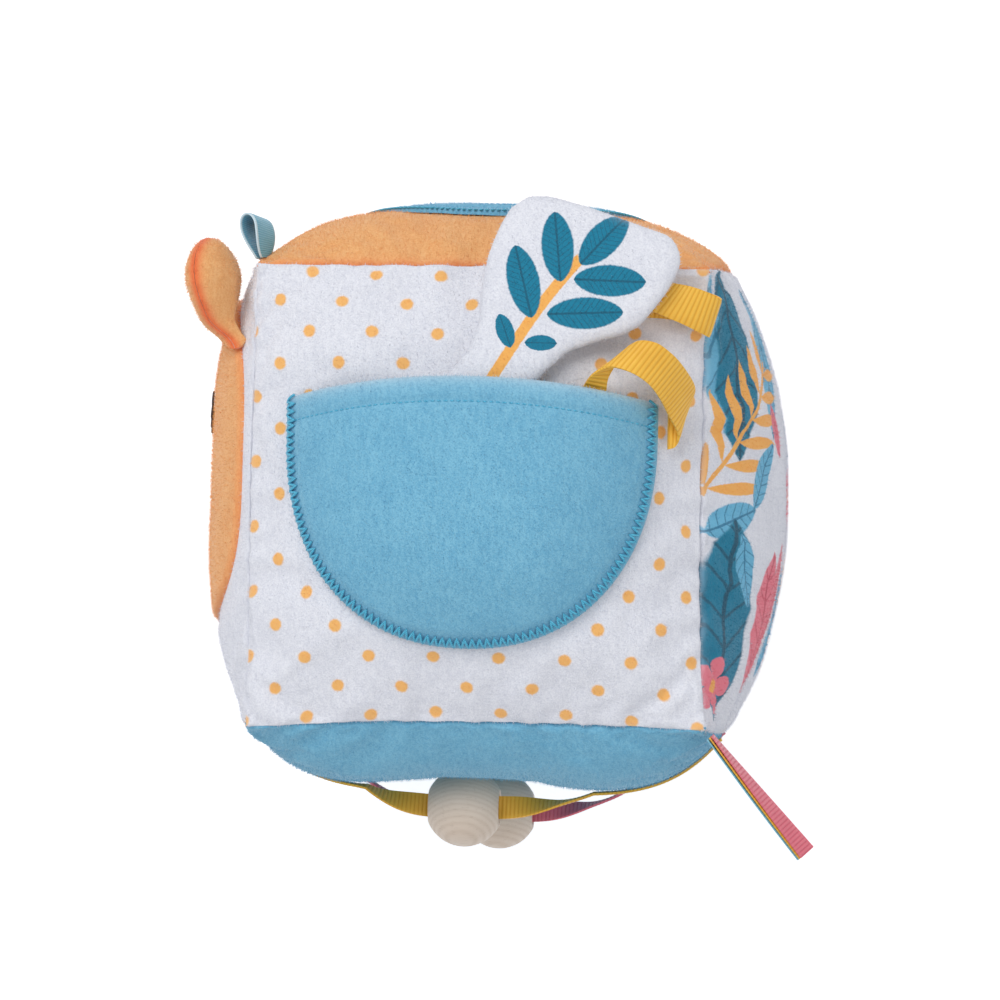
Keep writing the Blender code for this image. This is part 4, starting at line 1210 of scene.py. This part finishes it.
def lobePieces(prefix, body, place, shares, length, width, thick, cloth, finishes, slots, nodes, seed,
               creaseShade=1.0, root=(0, 0, 0)):
    # place is (start, across, along), thick is half of the thickness at the middle, root moves the foot
    start, across, along = (np.array(v) for v in place)
    out = np.cross(across, along)
    table = np.array(shares, float)
    stations = np.linspace(0, 1, 64)
    stations = (1 - np.cos(stations * math.pi)) / 2
    left = np.interp(stations, table[:, 0], table[:, 1]) * width
    right = np.interp(stations, table[:, 0], table[:, 2]) * width
    steps = np.sin(np.linspace(-1, 1, 33) * math.pi / 2)
    s = (left + right)[:, None] / 2 + (right - left)[:, None] / 2 * steps[None]
    t = np.repeat(stations[:, None] * length, len(steps), axis=1)
    rim = np.concatenate([table[:, [1, 0]], table[::-1, [2, 0]], table[:1, [1, 0]]]) * (width, length)
    far = distanceTo(np.stack([s, t], axis=-1), rim)
    full = np.sqrt(1 - np.clip(1 - far / (thick * 2.1), 0, 1) ** 2)
    flat = np.stack([s, t, s * 0], axis=-1)

    def at(height):
        foot = (1 - smoothStep(t, 0, 8))[..., None] * root
        return start + s[..., None] * across + t[..., None] * along + height[..., None] * out + foot

    for side, label, finish, slot, node, shift in ((1, "Front", finishes[0], slots[0], nodes[0], 2.0),
                                                   (-1, "Back", finishes[1], slots[1], nodes[1], 6.0)):
        crown = 0.12 + (thick - 0.12) * full + 0.22 * bumpy(flat + shift, 9, seed) * full
        upper = at(side * crown)
        lower = at(side * np.maximum(crown - cloth, 0.06))
        # the seam mask paints shade along each cloth's rim seam
        piece = shellPiece(prefix + label, upper, lower, finish, 1.0,
                           creaseShade * np.exp(-far / (0.7 if creaseShade == 1 else 0.42)))
        addPile(piece, finish, seed + side)
        settle(piece, body, slot, node)
    core = at(np.maximum(0.12 + (thick - 0.12) * full - cloth - 0.15, 0.03))
    under = at(-np.maximum(0.12 + (thick - 0.12) * full - cloth - 0.15, 0.03))
    wadding = shellPiece(prefix + "Wadding", core[3:-3, 3:-3], under[3:-3, 3:-3], looseFibre, 0.0)
    settle(wadding, body, "fibre", nodes[2])


def figurePieces():
    s = figureSettings
    thick = s["gap"] / 2 + s["puff"] + s["cloth"]
    lobePieces("figure", "figure", figureFrame(), figureShares, s["length"], s["width"], thick, s["cloth"],
               (sprigPlush, whitePlush), ("white_plush", "white_plush"),
               ("figure_front", "figure_back", "figure_wadding"), 21)


earSettings = {"length": 28.5, "width": 22.0, "thick": 6.4, "cloth": 0.9, "turn": math.radians(73),
               "lean": math.radians(8), "baseY": 36.5, "baseZ": 53.0, "standOff": 3.9}


def earPieces(side, prefix, body, seed):
    s = earSettings
    height = skinHeight("left", np.array(s["baseZ"]), np.array(s["baseY"])) + patchSettings["gap"] + 1.0
    base = Vector((-float(height) - s["standOff"], s["baseY"], side * s["baseZ"]))
    along = Vector((-math.sin(s["lean"]), math.cos(s["lean"]), 0))
    across = Vector((1, math.tan(s["lean"]), -side * math.tan(s["turn"]))).normalized()
    nodeNames = [body + part for part in ("_front", "_back", "_wadding")]
    # the ears' painted seam shade is 1.6 times as strong and narrower
    lobePieces(prefix, body, (base, across, along), earShares, s["length"], s["width"], s["thick"],
               s["cloth"], (orangePlush, orangePlush), ("orange_plush", "orange_plush"), nodeNames, seed,
               creaseShade=1.6, root=(s["standOff"] + 0.3, 0, 0))


figurePieces()
earPieces(1, "frontEar", "front_ear", 31)
earPieces(-1, "rearEar", "rear_ear", 41)
print("figure and ears made")


# Orange side: mirror film under a cloth ring
mirrorSettings = {"radius": 31.0, "foil": 0.5, "ringOuter": 38.0, "ringInner": 26.0, "ringCloth": 1.2,
                  "gap": 0.5}


def mirrorPieces():
    s = mirrorSettings
    x, y = discGrid(s["radius"], s["radius"], 2, 0, 48, 40)
    high = skinHeight("top", x, y) + s["gap"] + s["foil"]
    upper = onFace("top", np.stack([x, y, high], axis=-1))
    lower = onFace("top", np.stack([x, y, high - s["foil"]], axis=-1))
    foil = shellPiece("mirrorFoil", upper, lower, mirrorFoil, 0.0)
    settle(foil, "block", "mirror_foil", "mirror_foil")

    around = np.linspace(0, 2 * math.pi, 145)[:-1]
    radii = np.linspace(s["ringInner"], s["ringOuter"], 25)
    angle, radius = np.meshgrid(around, radii, indexing="ij")
    x, y = radius * np.cos(angle), radius * np.sin(angle)
    skinTop = skinHeight("top", x, y) + s["gap"]
    over = 0.9 * (1 - smoothStep(radius, s["radius"], s["radius"] + 2.2))
    edge = np.minimum(radius - s["ringInner"], s["ringOuter"] - radius)
    places = np.stack([x, y, skinTop], axis=-1)
    high = skinTop + over + s["ringCloth"] - rolled(edge, 1.4) + 0.3 * bumpy(places, 8, 2.0)
    upper = onFace("top", np.stack([x, y, high], axis=-1)).reshape(-1, 3)
    lower = onFace("top", np.stack([x, y, skinTop + over * 0.98], axis=-1)).reshape(-1, 3)
    rows, count = len(radii), len(around)
    faces = []
    for c in range(count):
        n = (c + 1) % count
        for r in range(rows - 1):
            a, b = c * rows + r, n * rows + r
            faces.append((a, b, b + 1, a + 1))
            faces.append((a + count * rows, a + 1 + count * rows, b + 1 + count * rows, b + count * rows))
        for r in (0, rows - 1):
            a, b = c * rows + r, n * rows + r
            faces.append((a, b, b + count * rows, a + count * rows))
    # the seam mask paints shade along the ring's rolled edges and over its inner face
    masks = {"pile": np.concatenate([np.ones(count * rows), np.zeros(count * rows)]),
             "seam": np.concatenate([np.exp(-edge.ravel() / 0.7), np.ones(count * rows)])}
    ring = makePiece("mirrorRing", np.concatenate([upper, lower]), faces, bluePlush, masks=masks)
    addPile(ring, bluePlush, 51)
    settle(ring, "block", "blue_plush", "mirror_ring")

    for name, radius, drop, width in (("ringOuterStitch", s["ringOuter"] - 0.9, 0.55, 0.0026),
                                      ("ringInnerStitch", s["ringInner"] + 0.9, 0.5, 0.0022)):
        angle = np.linspace(0, 2 * math.pi, 361)
        x, y = radius * np.cos(angle), radius * np.sin(angle)
        lift = 0.9 if radius < s["radius"] else 0.0
        high = skinHeight("top", x, y) + s["gap"] + lift + s["ringCloth"] - drop + 0.35
        line = onFace("top", np.stack([x, y, high], axis=-1))
        ups = np.tile((0.0, 1.0, 0.0), (len(angle), 1))
        values = {"Pitch": 0.0015, "Width": width, "Radius": 0.00028, "Arch": 0.0002}
        piece = stitchPath(name, line, ups, zigzagThread, tealThread, values)
        settle(piece, "block", "blue_plush")


mirrorPieces()
print("mirror made")


# Pocket
pocketSettings = {
    "width": 93.5, "drop": 52.5, "side": 9.5, "mouthRise": 5.5, "lift": 10.0, "power": 2.2, "risePower": 3.0,
    "cloth": 1.8, "x": -1.8, "y": 14.0, "gap": 0.3, "hem": 6.3,
}


def pocketLow(share):
    s = pocketSettings
    return s["y"] - s["drop"] * (1 - np.abs(share) ** s["power"]) ** (1 / s["power"])


def pocketHigh(share):
    s = pocketSettings
    return s["y"] + s["side"] + s["mouthRise"] * (1 - share ** 2)


def pocketSewnEdge(inset=0.0, count=260):
    # from the upper left end round the bottom to the upper right end
    s = pocketSettings
    angle = np.linspace(0, math.pi, count)
    share = -np.cos(angle)
    bend = np.stack([s["x"] + share * s["width"] / 2, pocketLow(share)], axis=1)
    sideRun = np.linspace(pocketHigh(1.0), s["y"], 12)[:-1]
    leftSide = np.stack([np.full(11, bend[0, 0]), sideRun], axis=1)
    rightSide = np.stack([np.full(11, bend[-1, 0]), sideRun[::-1]], axis=1)
    line = np.concatenate([leftSide, bend, rightSide])
    if inset:
        ahead = np.gradient(line, axis=0)
        ahead /= np.linalg.norm(ahead, axis=1, keepdims=True)
        line = line + np.stack([-ahead[:, 1], ahead[:, 0]], axis=1) * inset
    return line


def pocketMouth(count=120):
    share = np.linspace(-1, 1, count)
    return np.stack([pocketSettings["x"] + share * pocketSettings["width"] / 2, pocketHigh(share)], axis=1)


def pocketBase(x, y):
    # underside of the pocket
    s = pocketSettings
    share = np.clip((x - s["x"]) / (s["width"] / 2), -1, 1)
    below = np.maximum(0, s["y"] - y) / s["drop"]
    rim = (np.abs(share) ** s["power"] + below ** s["power"]) ** (1 / s["power"])
    return skinHeight("front", x, y) + s["gap"] + s["lift"] * np.maximum(0, 1 - rim ** s["risePower"])


def pocketTop(x, y):
    s = pocketSettings
    places = np.stack([x, y], axis=-1)
    sewn = distanceTo(places, pocketSewnEdge())
    mouth = distanceTo(places, pocketMouth())
    solid = np.stack([x, y, x * 0], axis=-1)
    high = pocketBase(x, y) + s["cloth"]
    high += (0.7 * bumpy(solid, 26, 4.4) * smoothStep(sewn, 2, 16)
             + 0.3 * bumpy(solid, 9, 9.9) * smoothStep(sewn, 1, 8))
    high += 0.5 * np.exp(-sewn / 5) * bumpy(solid, 5.0, 6.6)
    high += 0.45 * (1 - smoothStep(mouth, s["hem"] - 2.5, s["hem"]))         # doubled hem
    high -= 0.4 * np.exp(-((mouth - s["hem"]) / 0.9) ** 2)                    # drawn down by its stitches
    high -= 0.5 * (1 - smoothStep(sewn, 2.6, 4.2))
    return high - rolled(sewn, 1.0) * 0.9 - rolled(mouth, 1.7)


def pocketPieces():
    s = pocketSettings
    turn = np.linspace(-1, 1, 97)
    share = np.sin(turn * math.pi / 2)
    low, high = pocketLow(share), pocketHigh(share)
    rows = 0.45 * np.linspace(-1, 1, 81) + 0.55 * np.sin(np.linspace(-1, 1, 81) * math.pi / 2)
    x = np.repeat(s["x"] + share[:, None] * s["width"] / 2, len(rows), axis=1)
    y = low[:, None] + (high - low)[:, None] * (rows[None] + 1) / 2
    top = pocketTop(x, y)
    sewn = distanceTo(np.stack([x, y], axis=-1), pocketSewnEdge())
    upper = np.stack([x, y, top], axis=-1)
    lower = np.stack([x, y, np.minimum(pocketBase(x, y) + 0.05, top - 0.15)], axis=-1)
    mouth = distanceTo(upper[..., :2], pocketMouth())
    pile = smoothStep(sewn, 2.8, 3.6) * smoothStep(np.abs(mouth - s["hem"]), 0.3, 1.0)
    # the seam mask paints shade along the sewn edge, and below zero a painted highlight along the mouth fold
    piece = shellPiece("pocketPanel", upper, lower, bluePlush, pile,
                       0.3 * np.exp(-sewn / 1.2) - np.exp(-mouth / 1.4))
    addPile(piece, bluePlush, 61)
    settle(piece, "block", "blue_plush", "pocket_panel")

    line = pocketSewnEdge(1.35)
    high = pocketTop(line[:, 0], line[:, 1]) + 0.35
    slopes = [(pocketTop(line[:, 0] + dx, line[:, 1] + dy) - pocketTop(line[:, 0] - dx,
                                                                       line[:, 1] - dy)) / 1.6
              for dx, dy in ((0.8, 0), (0, 0.8))]
    ups = np.stack([-slopes[0], -slopes[1], np.ones(len(line))], axis=1)
    ups /= np.linalg.norm(ups, axis=1, keepdims=True)
    zigzag = stitchPath("pocketZigzag", np.column_stack([line, high]), ups, zigzagThread, tealThread,
                        {"Pitch": 0.0019, "Width": 0.0032, "Radius": 0.00034, "Arch": 0.00045})
    settle(zigzag, "block", "blue_plush")

    share = np.linspace(-0.985, 0.985, 120)
    x = s["x"] + share * s["width"] / 2
    y = pocketHigh(share) - s["hem"]
    hem = stitchPath("pocketHemStitch", np.stack([x, y, pocketTop(x, y) + 0.12], axis=1),
                     np.tile((0.0, 0.0, 1.0), (120, 1)),
                     runningStitch, tealThread, {"Pitch": 0.0016, "Radius": 0.00017, "Fill": 0.75})
    settle(hem, "block", "blue_plush")


pocketPieces()
print("pocket made")


# Ribbons
def ribbonPiece(name, near, far, cloth, finish, pitch, depth=0.13, steps=10):
    # a ribbon between two edge lines, with ribs raised across it
    (near, far), run = resampled([np.asarray(near, float), np.asarray(far, float)], pitch / 5)
    travel = np.gradient(near + far, axis=0)
    out = np.cross(travel, far - near)
    out /= np.linalg.norm(out, axis=1, keepdims=True) + 1e-12
    shares = np.linspace(0, 1, steps + 1)
    middle = near[:, None] * (1 - shares[None, :, None]) + far[:, None] * shares[None, :, None]
    edge = 1 - smoothStep(np.abs(shares - 0.5) * 2, 0.88, 1.0) * 0.35
    upper = middle + out[:, None] * (cloth / 2) * edge[None, :, None]
    lower = middle - out[:, None] * (cloth / 2) * edge[None, :, None]
    columns, rows = upper.shape[:2]
    width = np.linalg.norm(far - near, axis=1).mean()
    runs = np.repeat(run[:, None], rows, axis=1).ravel()
    sides = np.tile((shares - 0.5) * width, columns)
    inner = np.tile(1 - smoothStep(np.abs(shares - 0.5) * 2, 0.8, 0.9), columns)
    uv = np.tile(np.stack([runs, sides], axis=1), (2, 1))
    masks = {"run": np.tile(runs, 2), "inner": np.tile(inner, 2)}
    piece = makePiece(name, np.concatenate([upper.reshape(-1, 3), lower.reshape(-1, 3)]),
                      shellFaces(columns, rows),
                      finish, uv, masks)
    return bakeNodes(piece, ribbonRibs, finish, {"Pitch": pitch, "Depth": depth * mm})


tetherSettings = {"width": 12.0, "cloth": 0.8, "pitch": 1.28}
tetherStations = (((0.68, 0.82, 0.69), (0.77, 0.94, 0.80)), ((0.73, 0.80, 0.68), (0.83, 0.92, 0.80)),
                  ((0.86, 0.75, 0.66), (0.93, 0.90, 0.82)), ((0.95, 0.71, 0.64), (1.00, 0.87, 0.78)),
                  ((0.98, 0.70, 0.46), (1.03, 0.86, 0.62)), ((0.95, 0.74, 0.30), (1.00, 0.88, 0.50)),
                  ((0.82, 0.77, 0.18), (0.86, 0.92, 0.50)), ((0.68, 0.775, 0.12), (0.69, 0.92, 0.44)),
                  ((0.53, 0.755, 0.10), (0.57, 0.91, 0.36)), ((0.40, 0.69, 0.09), (0.35, 0.86, 0.30)),
                  ((0.30, 0.56, 0.09), (0.14, 0.68, 0.12)), ((0.235, 0.46, 0.075), (0.035, 0.50, 0.075)),
                  ((0.215, 0.36, 0.075), (0.0, 0.36, 0.08)), ((0.235, 0.29, 0.085), (0.05, 0.19, 0.09)),
                  ((0.285, 0.26, 0.09), (0.20, 0.07, 0.10)), ((0.33, 0.285, 0.10), (0.385, 0.085, 0.12)),
                  ((0.37, 0.335, 0.13), (0.50, 0.19, 0.13)), ((0.41, 0.40, 0.22), (0.545, 0.34, 0.16)),
                  ((0.45, 0.455, 0.40), (0.555, 0.43, 0.34)), ((0.50, 0.515, 0.80), (0.57, 0.52, 0.66)),
                  ((0.57, 0.545, 1.12), (0.665, 0.645, 1.10)), ((0.66, 0.525, 1.26), (0.755, 0.655, 1.36)),
                  ((0.735, 0.48, 1.24), (0.83, 0.61, 1.36)), ((0.785, 0.42, 1.08), (0.885, 0.55, 1.16)),
                  ((0.825, 0.345, 0.82), (0.925, 0.48, 0.80)), ((0.86, 0.275, 0.54), (0.91, 0.43, 0.46)),
                  ((0.85, 0.225, 0.34), (0.87, 0.41, 0.30)), ((0.815, 0.21, 0.25), (0.815, 0.40, 0.25)))


def tetherPiece():
    s = tetherSettings
    edges = []
    for side in range(2):
        table = np.array([station[side] for station in tetherStations])
        x, y = table[:, 0] * halfEdge, table[:, 1] * halfEdge
        points = np.stack([x, y, skinHeight("front", x, y) + table[:, 2] * s["width"]], axis=1)
        edges.append(smoothLine(points, 8))
    piece = ribbonPiece("tetherRibbon", edges[0], edges[1], s["cloth"], yellowRibbon, s["pitch"])
    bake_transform(piece)
    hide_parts("tether_ribbon")


beadSettings = {
    "radius": 10.4, "bore": 3.8, "edge": 0.8, "ribbonWidth": 6.0, "cloth": 0.8, "clear": 1.0,
    "twist": (5.0, 30.0),
    "front": {"x": -6.0, "y": -81.4, "row": 19.0, "reach": (26.0, 34.0)},
    "rear": {"x": 0.0, "y": -84.7, "row": -19.0, "reach": (38.0, 38.0)},
}


def beadRibbonPiece(name, node, which, finish, slot):
    # close to the blue side, lifted to its bead and edge-on inside it
    s, own = beadSettings, beadSettings[which]
    share = np.linspace(-1, 1, 240)
    x = share * (halfEdge + bellied(own["row"] / halfEdge) + 0.3)
    away = np.abs(x - own["x"])
    row = np.full_like(x, own["row"])
    close = skinHeight("bottom", x, row) + beadHollows(x, row) + s["clear"]
    reach = np.where(x < own["x"], own["reach"][0], own["reach"][1])
    lift = np.maximum(0, 1 - (away / reach) ** 3)
    turn = math.pi / 2 * (1 - smoothStep(away, *s["twist"]))
    side = np.stack([x * 0, -np.sin(turn), np.cos(turn)], axis=1) * s["ribbonWidth"] / 2
    point = np.stack([x, own["y"] * lift - close * (1 - lift), row], axis=1)
    piece = ribbonPiece(name, point - side, point + side, s["cloth"], finish, 1.1, 0.09, 8)
    settle(piece, "block", slot, node)


def beadPiece(name, node, body, which):
    # a turned ball with a bore and softened mouths
    s = beadSettings
    start = math.asin((s["bore"] + s["edge"]) / s["radius"])
    profile = []
    for turn in np.linspace(0, math.pi / 2, 6):      # softened mouth of the bore
        profile.append((-s["radius"] * math.cos(start) + s["edge"] * (1 - math.sin(turn)),
                        s["bore"] + s["edge"] * (1 - math.cos(turn))))
    for angle in np.linspace(start, math.pi - start, 44)[1:-1]:
        profile.append((-s["radius"] * math.cos(angle), s["radius"] * math.sin(angle)))
    profile += [(-along, radius) for along, radius in profile[5::-1]]
    middle = np.array((s[which]["x"], s[which]["y"], s[which]["row"]))
    points, faces = [], []
    turns = 72
    for t in range(turns):
        angle = 2 * math.pi * t / turns
        for along, radius in profile:
            points.append(middle + (along, radius * math.cos(angle), radius * math.sin(angle)))
    count = len(profile)
    for t in range(turns):
        for step in range(count):
            a, b = t * count + step, t * count + (step + 1) % count
            n = ((t + 1) % turns) * count
            faces.append((a, b, n + (step + 1) % count, n + step))
    piece = makePiece(name, points, faces, paleWood, sharp=40)
    settle(piece, body, "pale_wood", node)


loopSettings = {"width": 10.0, "height": 11.6, "spread": 2.8, "cloth": 0.7, "fromCorner": 2.6, "clear": 1.0,
                "neck": 0.5, "droop": 1.6,
                "turn": math.radians(20), "lean": math.radians(12)}


def loopPiece():
    s = loopSettings
    depth = halfEdge - s["fromCorner"] - s["width"] * math.cos(s["turn"]) / 2
    seam = halfEdge + bellied(depth / halfEdge)
    foot = Vector((1.2 - seam, seam + s["clear"], depth))
    up = Vector((-math.sin(s["lean"]), math.cos(s["lean"]), 0))
    back = Vector((math.sin(s["turn"]), math.sin(s["turn"]) * math.tan(s["lean"]),
                   -math.cos(s["turn"]))).normalized()
    sideways = up.cross(back)
    near, far = [], []
    for angle in np.linspace(0, 2 * math.pi, 140):
        swing = s["spread"] * math.sin(angle) * math.sin(angle / 2) ** 2
        spread = -swing - s["cloth"] * math.cos(angle / 2)
        point = foot + sideways * spread + up * (s["height"] * (1 - math.cos(angle)) / 2)
        rise = min(1, (1 - math.cos(angle)) / 1.3)
        half = s["width"] / 2 * (s["neck"] + (1 - s["neck"]) * rise * (2 - rise))
        near.append(point - back * half)
        far.append(point + back * half - Vector((0, s["droop"] * rise, 0)))
    piece = ribbonPiece("hangLoop", near, far, s["cloth"], blueSatin, 0.55, 0.03)
    settle(piece, "corner_loop", "blue_satin", "hang_loop")


tailSettings = {"length": 38.0, "width": 6.0, "cloth": 0.4, "droop": 7.0, "spacing": 0.7, "clear": 1.6,
                "heading": math.radians(-50), "turns": (math.radians(3), math.radians(42))}


def tailPiece(name, node, body, rank, finish, slot):
    # short ribbon end that leaves the corner, turns its face up and sags a little
    s = tailSettings
    heading = np.array((math.cos(s["heading"]), math.sin(s["heading"]), 0))
    sideways = np.array((-heading[1], heading[0], 0))
    upwards = np.array((0, 0, 1.0))
    share = np.linspace(0, 1, 60)[:, None]
    turn = s["turns"][0] + (s["turns"][1] - s["turns"][0]) * share
    face = sideways * np.cos(turn) + upwards * np.sin(turn)
    width = (upwards * np.cos(turn) - sideways * np.sin(turn)) * s["width"] / 2
    line = np.array((halfEdge, -halfEdge, halfEdge)) + heading * (s["clear"] + s["length"] * share)
    line = line - upwards * s["droop"] * share ** 2 + face * (rank * s["spacing"])
    piece = ribbonPiece(name, line - width, line + width, s["cloth"], finish, 1.1, 0.09, 8)
    settle(piece, body, slot, node)


tetherPiece()
beadRibbonPiece("frontBeadRibbon", "front_bead_ribbon", "front", yellowNarrow, "yellow_ribbon")
beadRibbonPiece("rearBeadRibbon", "rear_bead_ribbon", "rear", pinkNarrow, "pink_ribbon")
beadPiece("frontBead", "front_bead", "near_bead", "front")
beadPiece("rearBead", "rear_bead", "far_bead", "rear")
loopPiece()
tailPiece("pinkTail", "pink_tail", "upper_tail", 1, pinkNarrow, "pink_ribbon")
tailPiece("yellowTail", "yellow_tail", "middle_tail", 0, yellowNarrow, "yellow_ribbon")
tailPiece("blueTail", "blue_tail", "lower_tail", -1, blueNarrow, "blue_satin")
print("ribbons and beads made")
